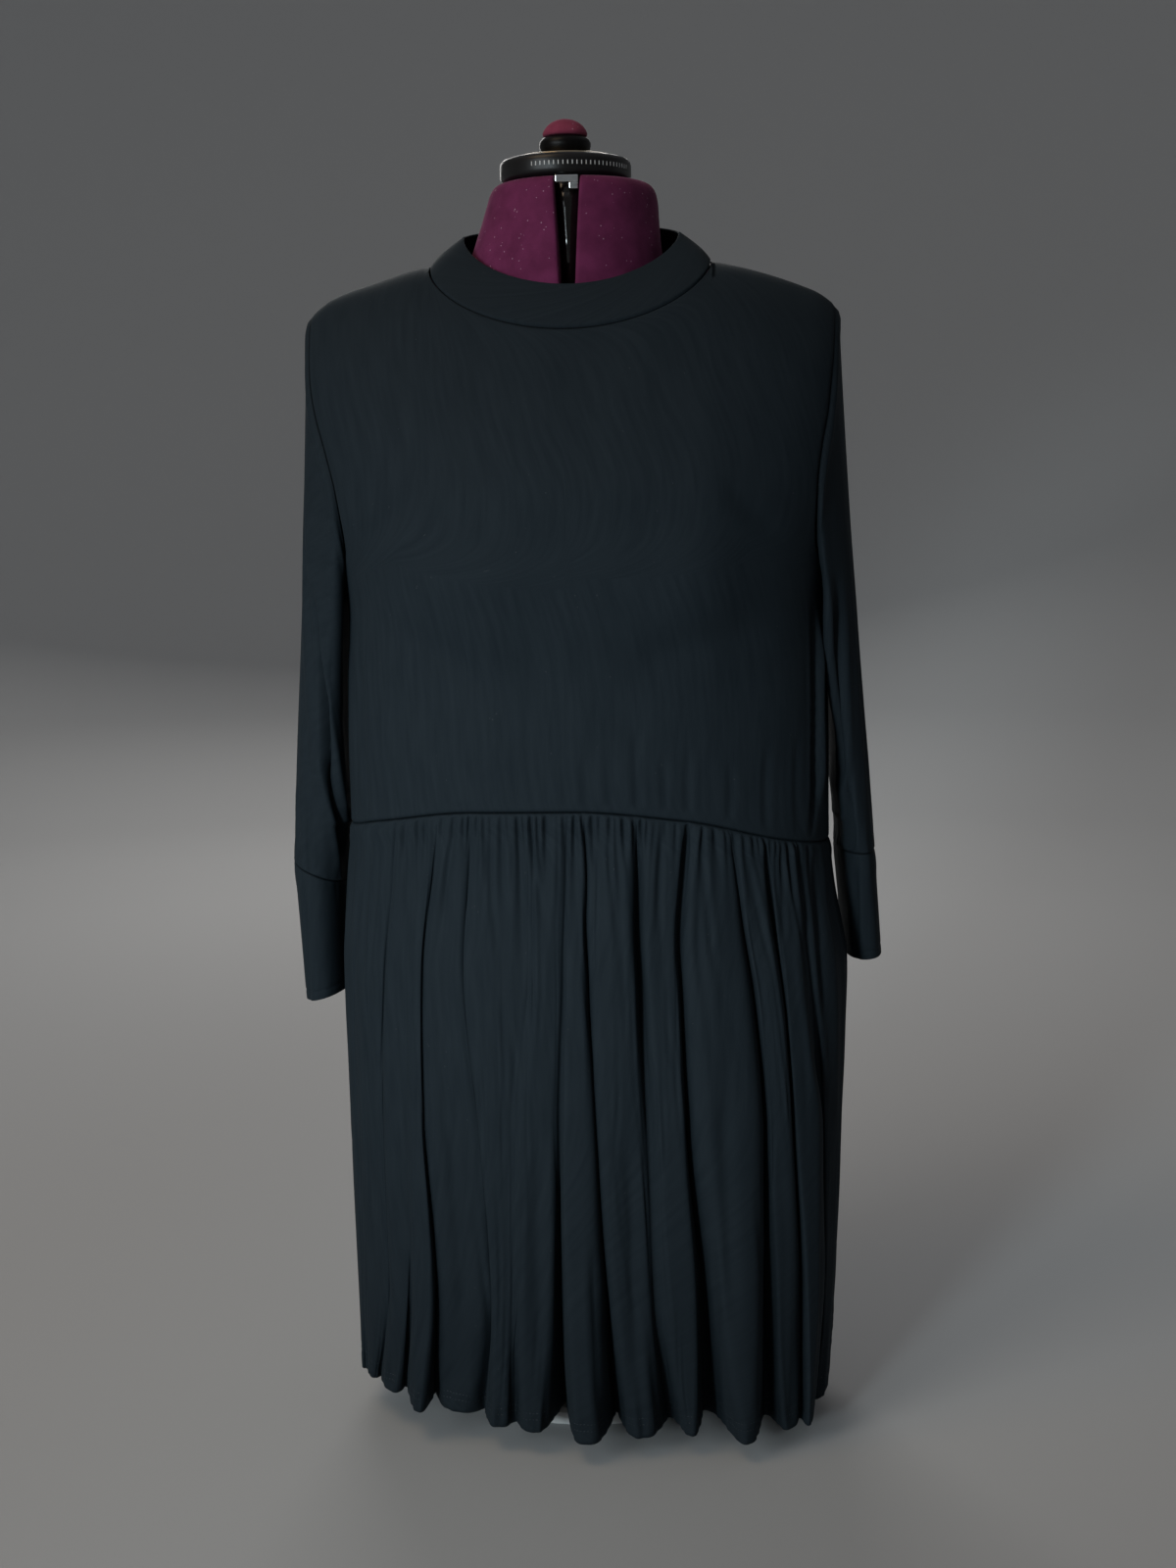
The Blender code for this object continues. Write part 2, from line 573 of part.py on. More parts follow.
def skirt_section(place, height, side):
    """Point of the section without folds: across, and how far it stands off the side plane."""
    shift, half_width, depth = skirt_sizes(height, side)
    across = half_width * signed_power(math.sin(0.5 * math.pi * place), 2.0 / SECTION_POWER)
    off = depth * abs(math.cos(0.5 * math.pi * place)) ** (2.0 / SECTION_POWER)
    return shift + across, off


def crest_lean(before, after, crest_place):
    """Power that puts a fold's crest where it is seen at the hem."""
    share = (crest_place - before) / (after - before)
    share = min(1.0 - CREST_LEAST_SHARE, max(CREST_LEAST_SHARE, share))
    return math.log(0.5) / math.log(share)


def fold_stations(side, fall):
    """Every valley at this level, with the panel's two edges; each one's crest is the one after it."""
    folds = FRONT_FOLDS if side == FRONT else BACK_FOLDS
    height = mix(WAIST_HEIGHT, HEM_HEIGHT, fall)
    shift, half_width, depth = skirt_sizes(HEM_HEIGHT, side)
    hem_places = [fold.places[-1] for fold in folds] + [shift + half_width]
    depth_levels = (FOLD_LEVELS[0], FOLD_START_LEVEL) + FOLD_LEVELS[1:]
    stations = [Station(-1.0, 0.0, FIRST_CREST[side], 1.0, SIDE_SHARPNESS)]
    for index, fold in enumerate(folds):
        across = smooth_curve(FOLD_LEVELS, fold.places, fall)
        depths = (0.0, FOLD_START_SHARE * fold.depths[0]) + fold.depths
        valley = smooth_curve(depth_levels, depths, fall)
        lean = mix(1.0, crest_lean(fold.places[-1], hem_places[index + 1], fold.crest_place), fall)
        stations.append(Station(skirt_place(across, height, side), valley, fold.crest, lean, fold.sharpness))
    stations.append(Station(1.0, 0.0, 0.0, 1.0, SIDE_SHARPNESS))
    return stations


def fold_swell(before, after, leaned, share, fall):
    """How far a place within a fold has risen from the valley to the crest, 0 to 1."""
    sharpness = mix(before.sharpness, after.sharpness, share)
    sharpness = mix(sharpness, HEM_SHARPNESS, fall ** HEM_SHARPNESS_GROWTH)
    flatness = 1.0 + CREST_FLATNESS * (1.0 - HEM_ROUNDING * fall ** CREST_FLATNESS_FALL)
    return 1.0 - (1.0 - math.sin(math.pi * leaned) ** sharpness) ** flatness


def skirt_rows(side):
    rows = []
    for step in range(SKIRT_ROWS + 1):
        fall = step / SKIRT_ROWS
        row = []
        stations = fold_stations(side, fall)
        for before, after in zip(stations, stations[1:]):
            crest = -before.crest * fall ** CREST_GROWTH
            for leaned in FOLD_STEPS:
                share = leaned ** (1.0 / before.lean)
                place = mix(before.place, after.place, share)
                valley = before.depth if leaned < 0.5 else after.depth
                edge_fade = 1.0 - abs(place) ** EDGE_FADE_POWER
                inward = mix(valley, crest, fold_swell(before, after, leaned, share, fall)) * edge_fade
                row.append(skirt_point(place, fall, inward, side))
        row.append(skirt_point(1.0, fall, 0.0, side))
        rows.append(row)
    return rows


def waist_edge(place, side):
    """Point on the bodice panel's lower edge, which is straight between its columns."""
    along = 0.5 * (place + 1.0) * PANEL_COLUMNS
    column = min(PANEL_COLUMNS - 1, int(along))
    ends = []
    for index in (column, column + 1):
        x, z = panel_bottom(-1.0 + 2.0 * index / PANEL_COLUMNS, side)
        ends.append(Vector((x, side * max(SIDE_GAP, body_depth(x, z, side)), z)))
    return ends[0].lerp(ends[1], along - column)


def form_depth(across, height, side):
    """How far the dress form and the air round it stand off the side plane; nothing below its edge."""
    edge = FORM_SECTIONS[0].height
    if height < edge:
        return 0.0
    half_width = smooth_value(FORM_SECTIONS, "height", "half_width", height) + FORM_CLEARANCE
    depth = smooth_value(FORM_SECTIONS, "height", depth_column(side), height) + FORM_CLEARANCE
    power = FORM_SECTIONS[0].power
    reach = min(1.0, abs(across) / half_width)
    return depth * (1.0 - reach ** power) ** (1.0 / power)


def skirt_point(place, fall, inward, side):
    """Point of the skirt, moved inward, front to back, from its section."""
    waist = waist_edge(place, side)
    hem_x = smooth_value(SKIRT_SECTIONS, "height", "half_width", HEM_HEIGHT) * place
    hem_z = smooth_value(HEM_LINE, "across", height_column(side), hem_x)
    height = mix(waist.z - SEAM_GAP, hem_z, fall)
    across, off = skirt_section(place, height, side)
    near_waist = max(0.0, 1.0 - fall / WAIST_BLEND) ** 2
    across = mix(across, waist.x, near_waist)
    off = mix(off, abs(waist.y), near_waist) - inward
    off = max(off, form_depth(across, height, side), SIDE_GAP)
    return Vector((across, side * off, height))


def make_skirt(name, side, collection, material):
    rows = skirt_rows(side)
    if side == FRONT:
        rows = [row[::-1] for row in rows]
    skirt = make_object(name, grid_mesh(name, rows, False), collection, material)
    add_wall(skirt)
    return skirt


# ---------------------------------------------------------------- dress form
def form_ring(section):
    ring = []
    for column in range(FORM_COLUMNS):
        angle = 2.0 * math.pi * column / FORM_COLUMNS
        depth = section.front if math.sin(angle) >= 0.0 else section.back
        x = section.half_width * signed_power(math.cos(angle), 2.0 / section.power)
        y = -depth * signed_power(math.sin(angle), 2.0 / section.power)
        z = section.height - section.dip * abs(math.sin(angle)) ** NECK_DROP_POWER
        ring.append(Vector((x, y, z)))
    return ring


def close_ring(mesh, ring, centre):
    """Fan from a ring of new vertices to a centre point."""
    middle = mesh.verts.new(centre)
    for index, vertex in enumerate(ring):
        mesh.faces.new((vertex, ring[(index + 1) % len(ring)], middle))


def loft(name, rings, bottom_centre, top_centre, collection, material):
    """Closed body through rings from the bottom up, with a fan at each end."""
    mesh = bpy.data.meshes.new(name)
    body = bmesh.new()
    vertices = [[body.verts.new(point) for point in ring] for ring in rings]
    count = len(rings[0])
    for lower, upper in zip(vertices, vertices[1:]):
        for index in range(count):
            following = (index + 1) % count
            body.faces.new((lower[index], lower[following], upper[following], upper[index]))
    close_ring(body, vertices[0], bottom_centre)
    close_ring(body, vertices[-1], top_centre)
    bmesh.ops.recalc_face_normals(body, faces=body.faces)
    body.to_mesh(mesh)
    body.free()
    mesh.shade_smooth()
    return make_object(name, mesh, collection, material)


def make_torso(collection, material):
    rings = [form_ring(section) for section in FORM_SECTIONS]
    cap = FORM_SECTIONS[-1]._replace(height=FORM_CAP_HEIGHT, half_width=FORM_CAP_HALF_WIDTH,
                                     front=FORM_CAP_HALF_WIDTH, back=FORM_CAP_HALF_WIDTH, dip=0.0)
    rings.append(form_ring(cap))
    bottom = Vector((0.0, 0.0, FORM_SECTIONS[0].height))
    top = Vector((0.0, 0.0, FORM_CAP_HEIGHT))
    return loft("form_torso", rings, bottom, top, collection, material)


def neck_half_width(section, hand):
    return section.right_half if hand == RIGHT_HAND else section.left_half


def neck_ring(section, hand):
    """Outer arc from the front slot edge round to the back slot edge; its chord is the flat slot face."""
    half_width = neck_half_width(section, hand)
    start = math.asin(section.slot / half_width)
    ring = []
    for step in range(NECK_ARC_STEPS + 1):
        angle = mix(start, math.pi - start, step / NECK_ARC_STEPS)
        x = hand * half_width * math.sin(angle)
        y = -section.depth * math.cos(angle)
        z = section.height - section.dip * abs(math.cos(angle)) ** NECK_DROP_POWER
        ring.append(Vector((x, y, z)))
    return ring


def make_neck_half(name, hand, collection, material):
    rings = [neck_ring(section, hand) for section in NECK_SECTIONS]
    bottom_section = NECK_SECTIONS[0]
    bottom_across = hand * NECK_CAP_REACH["bottom"] * neck_half_width(bottom_section, hand)
    bottom = Vector((bottom_across, 0.0, bottom_section.height - NECK_CAP_DROP))
    top = Vector((hand * NECK_CAP_REACH["top"] * neck_half_width(NECK_SECTIONS[-1], hand), 0.0, NECK_TOP))
    return loft(name, rings, bottom, top, collection, material)


def make_column(collection, material):
    """Black slab between the neck halves, as wide as the slot at each height."""
    rings = []
    low_width = NECK_SECTIONS[0].slot - COLUMN_GAP
    high_width = NECK_SECTIONS[-1].slot - COLUMN_GAP
    for height, width in ((COLUMN_BOTTOM, low_width), (COLUMN_TOP, high_width)):
        front = ((width, -COLUMN_DEPTH), (width, COLUMN_DEPTH))
        back = ((-width, COLUMN_DEPTH), (-width, -COLUMN_DEPTH))
        rings.append([Vector((x, y, height)) for x, y in front + back])
    bottom = Vector((0.0, 0.0, COLUMN_BOTTOM))
    top = Vector((0.0, 0.0, COLUMN_TOP))
    return loft("neck_column", rings, bottom, top, collection, material)


def make_latch(collection, material):
    """Bright tab at the top of the front slot."""
    half_width = NECK_SECTIONS[-2].slot - 2.0 * COLUMN_GAP
    bpy.ops.mesh.primitive_cube_add(size=1.0)
    latch = bpy.context.object
    latch.name = "neck_latch"
    latch.data.name = "neck_latch"
    latch.scale = (2.0 * half_width, LATCH_THICKNESS, LATCH_HEIGHT)
    latch.location.y = -COLUMN_DEPTH - COLUMN_GAP - 0.5 * LATCH_THICKNESS
    latch.location.z = LATCH_TOP - 0.5 * LATCH_HEIGHT
    bpy.ops.object.transform_apply(location=True, rotation=True, scale=True)
    edge = latch.modifiers.new("edge", "BEVEL")
    edge.width = LATCH_BEVEL
    edge.segments = 2
    latch.data.materials.append(material)
    for owner in list(latch.users_collection):
        owner.objects.unlink(latch)
    collection.objects.link(latch)
    return latch


def turned(name, profile, shift, collection, material):
    """Solid of revolution about an upright axis from a profile that runs down its outer side."""
    mesh = bpy.data.meshes.new(name)
    outline = bmesh.new()
    vertices = [outline.verts.new((radius, 0.0, height)) for radius, height in profile]
    for upper, lower in zip(vertices, vertices[1:]):
        outline.edges.new((upper, lower))
    outline.to_mesh(mesh)
    outline.free()
    solid = make_object(name, mesh, collection, material)
    solid.location.x = shift
    screw = solid.modifiers.new("turn", "SCREW")
    screw.steps = TURN_STEPS
    screw.render_steps = TURN_STEPS
    screw.use_merge_vertices = True
    screw.merge_threshold = 0.0001
    return solid


def main():
    clear_scene()
    collection = bpy.data.collections.new(COLLECTION_NAME)
    bpy.context.scene.collection.children.link(collection)
    materials = {name: make_material(name) for name in FINISHES}
    jersey = materials["black_jersey"]
    knit = materials["wine_knit"]
    plastic = materials["black_plastic"]
    enamel = materials["stand_enamel"]

    make_bodice("bodice_front", FRONT, collection, jersey)
    make_bodice("bodice_back", BACK, collection, jersey)
    make_collar(collection, jersey)
    for label, hand in (("right", RIGHT_HAND), ("left", LEFT_HAND)):
        make_sleeve("sleeve_" + label, hand, collection, jersey)
        make_cuff("cuff_" + label, hand, collection, jersey)
    make_skirt("skirt_front", FRONT, collection, jersey)
    make_skirt("skirt_back", BACK, collection, jersey)

    make_torso(collection, knit)
    make_neck_half("neck_right", RIGHT_HAND, collection, knit)
    make_neck_half("neck_left", LEFT_HAND, collection, knit)
    make_column(collection, plastic)
    make_latch(collection, materials["chrome"])
    turned("neck_dial", DIAL_PROFILE, DIAL_SHIFT, collection, plastic)
    turned("dial_plate", PLATE_PROFILE, DIAL_SHIFT, collection, materials["brass"])
    turned("cushion_cup", KNOB_PROFILE, DIAL_SHIFT, collection, plastic)
    turned("pincushion", CUSHION_PROFILE, DIAL_SHIFT, collection, knit)
    turned("stand_pole", POLE_PROFILE, 0.0, collection, enamel)
    base = turned("stand_base", BASE_PROFILE, 0.0, collection, enamel)
    base.scale.y = BASE_NARROWING    # the screw's profile turns first, so the scale makes an oval


main()
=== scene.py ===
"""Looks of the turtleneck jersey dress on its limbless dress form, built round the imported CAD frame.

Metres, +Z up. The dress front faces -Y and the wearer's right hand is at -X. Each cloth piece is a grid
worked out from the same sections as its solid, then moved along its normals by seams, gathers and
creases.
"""

import math
from collections import namedtuple

import bpy
import numpy as np
from mathutils import Matrix, Vector


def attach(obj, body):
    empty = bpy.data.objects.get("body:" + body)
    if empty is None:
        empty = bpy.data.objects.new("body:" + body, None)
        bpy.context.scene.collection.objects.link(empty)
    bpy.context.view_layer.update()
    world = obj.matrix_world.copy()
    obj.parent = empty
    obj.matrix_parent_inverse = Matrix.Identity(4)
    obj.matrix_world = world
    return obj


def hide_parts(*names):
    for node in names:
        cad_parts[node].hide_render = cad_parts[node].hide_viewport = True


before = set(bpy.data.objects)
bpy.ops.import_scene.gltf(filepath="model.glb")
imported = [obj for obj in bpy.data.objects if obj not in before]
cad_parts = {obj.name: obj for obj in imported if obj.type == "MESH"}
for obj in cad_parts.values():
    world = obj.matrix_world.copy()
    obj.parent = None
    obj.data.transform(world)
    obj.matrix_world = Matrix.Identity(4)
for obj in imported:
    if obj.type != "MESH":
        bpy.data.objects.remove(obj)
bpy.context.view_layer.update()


def in_metres(value):
    """A number in millimetres, or a tuple of them, in metres."""
    return tuple(in_metres(part) for part in value) if isinstance(value, tuple) else value / 1000.0


def in_mm(kind, *rows):
    """Table with named columns in metres, from rows in millimetres."""
    return tuple(kind(*in_metres(row)) for row in rows)


# ---------------------------------------------------------------- driving dimensions, as in the CAD source
CLOTH = 0.0010            # wall of the shown cloth
BAND_CLOTH = 0.0020       # the collar and the cuffs are two layers of it
SIDE_GAP = 0.0003
SECTION_POWER = 2.35
FRONT = -1
BACK = 1
RIGHT_HAND = -1
LEFT_HAND = 1

UNDERARM_HEIGHT = 0.722
UNDERARM_BLEND = 0.008    # height over which the side seam runs into the armhole
SHOULDER_TIP_HEIGHT = 0.948
SHOULDER_ROUND = {FRONT: 0.070, BACK: 0.050}
NECK_HALF_WIDTH = 0.116
NECK_SIDE_HEIGHT = 0.985
NECK_DROP = {FRONT: 0.059, BACK: 0.000}
NECK_DROP_POWER = 1.2
WAIST_HEIGHT = 0.520
HEM_HEIGHT = 0.020

Section = namedtuple("Section", "height shift half_width front back")
BODICE_SECTIONS = in_mm(Section,
    (500, 8, 204, 141, 112), (560, 8, 204, 144, 112), (640, 8, 203, 152, 112), (700, 8, 200, 161, 114),
    (740, 7, 204, 165, 118), (790, 5, 219, 164, 122), (840, 2, 229, 151, 124), (890, 0, 234, 130, 120),
    (930, 0, 235, 113, 112), (1000, 0, 235, 102, 104))
SKIRT_SECTIONS = in_mm(Section,
    (20, 5, 207, 152, 140), (150, 7, 212, 154, 137), (280, 9, 215, 154, 132), (400, 10, 217, 150, 126),
    (470, 8, 211, 146, 119), (540, 8, 205, 143, 112))
ArmholePoint = namedtuple("ArmholePoint", "height reach")
ARMHOLE = in_mm(ArmholePoint,
    (722, 200.5), (755, 190.5), (800, 193.5), (830, 199), (865, 207.5), (900, 212.5), (930, 215.5),
    (948, 217.5))
LinePoint = namedtuple("LinePoint", "across front back")     # heights of a line seen from either side
SHOULDER_LINE = in_mm(LinePoint,
    (0, 988, 1006), (70, 988, 1000), (116, 985, 985), (160, 974, 974), (200, 960, 960),
    (217.5, 948, 948))
WAIST_LINE = in_mm(LinePoint,
    (-205, 520, 520), (-160, 534, 516), (-80, 546, 512), (0, 547, 510), (90, 538, 508), (165, 518, 506),
    (212, 505, 505))
HEM_LINE = in_mm(LinePoint,
    (-215, 42, 42), (-180, 36, 34), (-100, 30, 28), (0, 20, 24), (100, 18, 26), (185, 24, 56),
    (207, 78, 78))
Ring = namedtuple("Ring", "x y z half_x half_y turn slope")
SLEEVE_END = {
    RIGHT_HAND: Ring(-0.2300, 0.034, 0.475, 0.0235, 0.054, 0.0, -0.42),
    LEFT_HAND: Ring(0.2360, 0.030, 0.492, 0.0150, 0.058, 4.0, 0.00),
}
CUFF_END = {
    RIGHT_HAND: Ring(-0.2288, 0.044, 0.363, 0.0195, 0.050, 0.0, 0.25),
    LEFT_HAND: Ring(0.2436, 0.046, 0.396, 0.0158, 0.052, 4.0, 0.12),
}
SLEEVE_RING_POWER = 2.2
SLEEVE_CAP = 0.0025       # how far the sleeve stands out from the armhole seam
SLEEVE_CAP_RUN = 0.012    # share of the sleeve's length over which it does so
SLEEVE_FLARE = 1.15
COLLAR_TOP_HALF_WIDTH = 0.090
COLLAR_TOP_DEPTH = {FRONT: 0.085, BACK: 0.074}
COLLAR_TOP_SIDE_HEIGHT = 1.010
COLLAR_TOP_RISE = {FRONT: -0.048, BACK: 0.016}
COLLAR_BULGE = 0.003

# Dress form, for keeping the folds off it and for its finer neck.
FormSection = namedtuple("FormSection", "height half_width front back")
FORM_SECTIONS = in_mm(FormSection,
    (262, 136, 86, 78), (270, 150, 97, 88), (340, 164, 108, 98), (440, 154, 104, 92), (540, 140, 98, 82))
FORM_POWER = 2.2
FORM_CLEARANCE = 0.004
FORM_FOOT = (0.215, 0.262)    # heights over which the form begins to hold the folds off

NeckSection = namedtuple("NeckSection", "height right_half left_half depth slot dip")
NECK_SECTIONS = in_mm(NeckSection,
    (984.4, 87, 76.5, 76, 6, 27), (998, 81.5, 74.5, 73.5, 7.2, 13), (1016, 75, 73, 70.5, 8.6, 3),
    (1033, 69.5, 72, 68, 9.7, 0), (1042, 66.5, 70, 66, 10.3, 0), (1047.8, 62, 65.2, 61.5, 10.6, 0),
    (1050, 55, 58, 54, 10.6, 0), (1050.3, 47, 50, 46, 10.6, 0))
NECK_LEVELS = 40
NECK_ARC_STEPS = 48
NECK_CORNER = 0.0030      # rounding of the neck halves' upright edges
NECK_TOP_MIDDLE = 0.022   # middles of the neck halves' top and foot faces
NECK_FOOT_MIDDLE = 0.024
NECK_FOOT_DROP = 0.022
COLUMN_HALF_DEPTH = 0.0555
COLUMN_ROUND = 0.006
COLUMN_STEPS = 12
COLUMN_LEVELS = ((0.9592, 0.0054), (1.0, 0.0068), (1.025, 0.009), (1.05, 0.01))     # height, half width
# Opposite corners of the bright tab's two boxes.
LATCH_BOXES = in_metres((
    ((-9.2, -62, 1043.8), (9.2, -56.5, 1049.3)), ((2, -61.6, 1038.5), (9.2, -56.5, 1043.8))))
TURN_STEPS = 96
DIAL_SHIFT = -0.004
DIAL_PROFILE = in_metres((
    (0, 1069.4), (30, 1069.4), (44, 1069.4), (49, 1069.1), (51.8, 1068.2), (53.6, 1066.3),
    (54.2, 1063.6), (54.2, 1060), (54.2, 1056), (53.7, 1053.6), (52.2, 1051.7), (50, 1050.9),
    (30, 1050.8), (0, 1050.8)))
PLATE_PROFILE = in_metres((
    (0, 1072.2), (34, 1072), (39, 1071.6), (41, 1070.9), (41.5, 1070.1), (41.4, 1069.7), (0, 1069.7)))
CUP_PROFILE = in_metres((
    (0, 1088), (15, 1088), (18, 1087.2), (20.1, 1085.2), (21.2, 1082.8), (21.3, 1080), (20.4, 1077),
    (19, 1074.8), (18, 1073.4), (17.6, 1072.5), (0, 1072.5)))
CUSHION_PROFILE = in_metres((
    (0, 1102.2), (4, 1102), (8, 1101), (11.8, 1099.1), (15, 1096.5), (17.4, 1093.2), (18.5, 1090.5),
    (18.2, 1088.8), (17.4, 1088.3), (0, 1088.3)))
# Plain ticks on the front of the dial's rim: from and to angle, step in degrees, height and half size.
TickPlan = namedtuple("TickPlan", "first last step height half_width half_height")
TICKS = TickPlan(-27.0, 69.0, 4.0, 1.0604, 0.00035, 0.0016)
TICK_REACHES = (0.0540, 0.05435)    # of a tick's inner and outer face from the dial's axis

# ---------------------------------------------------------------- grids of the shown cloth
SIDE_SEAM_ROWS = 84
WAIST_ROW_POWER = 1.25    # brings the rows closer together towards the waist
ARMHOLE_ROWS = 72
NECK_COLUMNS = 120
SHOULDER_COLUMNS = 40
PANEL_COLUMNS = NECK_COLUMNS + 2 * SHOULDER_COLUMNS
NECK_SHARE = NECK_COLUMNS / PANEL_COLUMNS
EDGE_CROWDING = 1.5       # brings the columns closer together towards a panel's side edges
SLEEVE_ROW_PLAN = ((0, 0.0), (10, 0.012), (100, 0.985), (114, 1.0))           # row and share of the way
CUFF_ROW_PLAN = ((0, 0.0), (9, 0.045), (30, 0.88), (48, 1.0))
TUBE_COLUMNS = 144
COLLAR_ROWS = 24
COLLAR_ROW_POWER = 1.5    # brings the rows closer together towards the seam
COLLAR_FOLD_STEPS = 6
COLLAR_COLUMNS = 240
SKIRT_ROW_PLAN = ((0, 0.0), (9, 0.012), (32, 0.11), (90, 0.93), (102, 1.0))
COLUMN_WIDTH = 0.00100    # of the skirt at the waist
LEAST_COLUMNS = 24        # between one valley and the next

# ---------------------------------------------------------------- folds of the skirt
# One row for each valley from the wearer's right to left: where it is seen from the front at the waist and
# at the four levels below it, how deep it is at those four, then for the crest after it where that is seen
# at the hem and how far it stands out there, all in millimetres, and last the valley's sharpness (less is
# sharper).
FOLD_LEVELS = (0.0, 0.25, 0.50, 0.77, 1.0)
FOLD_START_LEVEL = 0.05
FOLD_START_SHARE = 0.42   # share of its first depth that a valley has at the start level
Fold = namedtuple("Fold", "places depths crest_place crest sharpness")


def fold_rows(*rows):
    return tuple(Fold(*in_metres(row[:-1]), row[-1]) for row in rows)


FRONT_FOLDS = fold_rows(
    ((-182, -190, -194, -194, -196), (4, 6, 10, 20), -190, -22, 0.90),
    ((-147, -159, -164, -164, -181), (8, 10, 18, 40), -168, -26, 0.80),
    ((-134, -138, -141, -145, -157), (1, 4, 18, 48), -140, -12, 0.70),
    ((-110, -125, -127, -123, -130), (6, 11, 36, 62), -110, -36, 0.70),
    ((-82, -90, -80, -74, -85), (7, 11, 28, 56), -73, -24, 0.80),
    ((-36, -36, -46, -52, -57), (3, 5, 14, 40), -40, -22, 1.10),
    ((-3, -8, -14, -16, -18), (6, 14, 48, 88), 4, -6, 0.70),
    ((10, 11, 15, 21, 27), (14, 24, 48, 70), 48, -18, 0.62),
    ((52, 53, 58, 61, 71), (18, 12, 18, 56), 91, -16, 0.80),
    ((94, 85, 88, 98, 101), (16, 24, 42, 66), 136, 12, 0.66),
    ((126, 143, 152, 151, 151), (16, 22, 32, 36), 172, 10, 0.70),
    ((155, 168, 176, 183, 182), (16, 18, 16, 2), 190, 24, 0.80),
    ((182, 194, 203, 204, 197), (8, 12, 14, 14), 204, 0, 0.90))
BACK_FOLDS = fold_rows(
    ((-186, -190, -196, -196, -194), (6, 8, 12, 20), -172, -4, 0.90),
    ((-148, -156, -158, -154, -156), (12, 18, 32, 52), -138, 2, 0.70),
    ((-112, -112, -106, -108, -114), (8, 12, 22, 40), -94, -12, 0.90),
    ((-64, -68, -70, -64, -68), (16, 22, 38, 62), -44, -4, 0.70),
    ((-22, -18, -12, -16, -22), (10, 12, 22, 42), 6, 4, 0.80),
    ((26, 30, 30, 36, 40), (18, 24, 38, 60), 60, -10, 0.70),
    ((70, 78, 86, 82, 80), (8, 12, 18, 36), 112, 0, 0.90),
    ((114, 126, 132, 134, 138), (16, 20, 34, 54), 160, -6, 0.70),
    ((162, 172, 178, 180, 184), (10, 14, 20, 34), 194, 4, 0.80))
FIRST_CREST = {FRONT: -0.008, BACK: -0.002}
SIDE_SHARPNESS = 1.0
HEM_SHARPNESS = 1.05      # at the hem the valleys open out and the crests round over
CREST_FLATNESS = 1.5      # above the hem the crests are flat and the valleys narrow slits
CREST_FLATNESS_FALL = 3.0
HEM_ROUNDING = 0.75       # share of that flatness given up at the hem
HEM_SHARPNESS_GROWTH = 4.0
CREST_GROWTH = 2.0        # the crests keep to the section at first and leave it towards the hem
FOLD_CURL = 0.14          # share of its depth by which a crest leans over the valleys beside it
CURL_LIMIT = 0.16         # but no more than this share of the fold's width
LEAN_LIMITS = (0.15, 0.85)    # a crest keeps between these shares of the way from valley to valley
FOLD_SPREAD = 0.30        # width of a fold in metres for each unit of its places
VALLEY_CROWDING = 0.55    # brings the columns closer together in the valleys
EDGE_FADE_POWER = 14
WAIST_BLEND = 0.30

# ---------------------------------------------------------------- creases
# A crease runs from start to end as seen square on; bow bends it sideways and a positive depth goes inward.
Crease = namedtuple("Crease", "start_x start_z end_x end_z bow width depth")
FACING_SPAN = 0.35        # a face takes all of a crease once it is turned this far to it
SIDE_CREASE_REACH = 0.7   # share of a sleeve's side creases that its back takes
BRIM_PLACE = 2.1          # a brim rises beside a crease, this many of its widths from its middle
BRIM_SHARE = 0.25         # and by this share of its depth
BODICE_FRONT_CREASES = in_mm(Crease,
    (-175, 700, -170, 530, 2, 3, 2.2), (-184, 690, -181, 560, -1, 2.6, 1.8),
    (194, 715, 194, 528, -2, 1.8, 8), (201, 715, 202, 534, 3, 3, -5),
    (-150, 610, -143, 536, 2, 3.1, 1.1), (-126, 600, -120, 540, -2, 2.8, 1.2),
    (-100, 596, -98, 546, 1, 2.7, 1), (-66, 585, -62, 548, 1, 2.7, 0.8), (-4, 612, -2, 548, 2, 2.8, 1.3),
    (18, 604, 13, 548, 1, 2.5, 1.5), (32, 590, 30, 547, -1, 2.3, 1.2), (55, 622, 52, 545, 2, 2.8, 1.7),
    (72, 596, 74, 543, -1, 2.5, 1.3), (94, 604, 92, 540, 1, 2.7, 1.2), (125, 590, 124, 532, -2, 2.7, 1),
    (158, 604, 156, 524, 2, 2.7, 1.2), (182, 610, 182, 516, 2, 2.3, 1.3),
    (-150, 700, -60, 640, -6, 14, 2), (40, 660, 160, 690, -6, 14, 1.8),
    (-176, 760, -120, 800, 6, 8, 1.2), (176, 762, 124, 806, -6, 8, 1.2))
BODICE_BACK_CREASES = in_mm(Crease,
    (-168, 690, -160, 520, 2, 3.4, 2.2), (176, 700, 172, 516, -2, 3.2, 2.4),
    (-120, 600, -112, 516, 2, 3.1, 1.3), (-70, 580, -66, 514, -1, 2.8, 1.1),
    (-24, 606, -22, 512, 1, 3.1, 1.4), (18, 590, 22, 511, -2, 2.8, 1.2), (72, 610, 68, 510, 2, 3.1, 1.4),
    (122, 592, 116, 510, -1, 2.8, 1.2), (-150, 780, -80, 850, 8, 11, 2), (154, 776, 86, 840, -8, 11, 2),
    (-120, 700, 100, 690, -12, 18, 2.4))
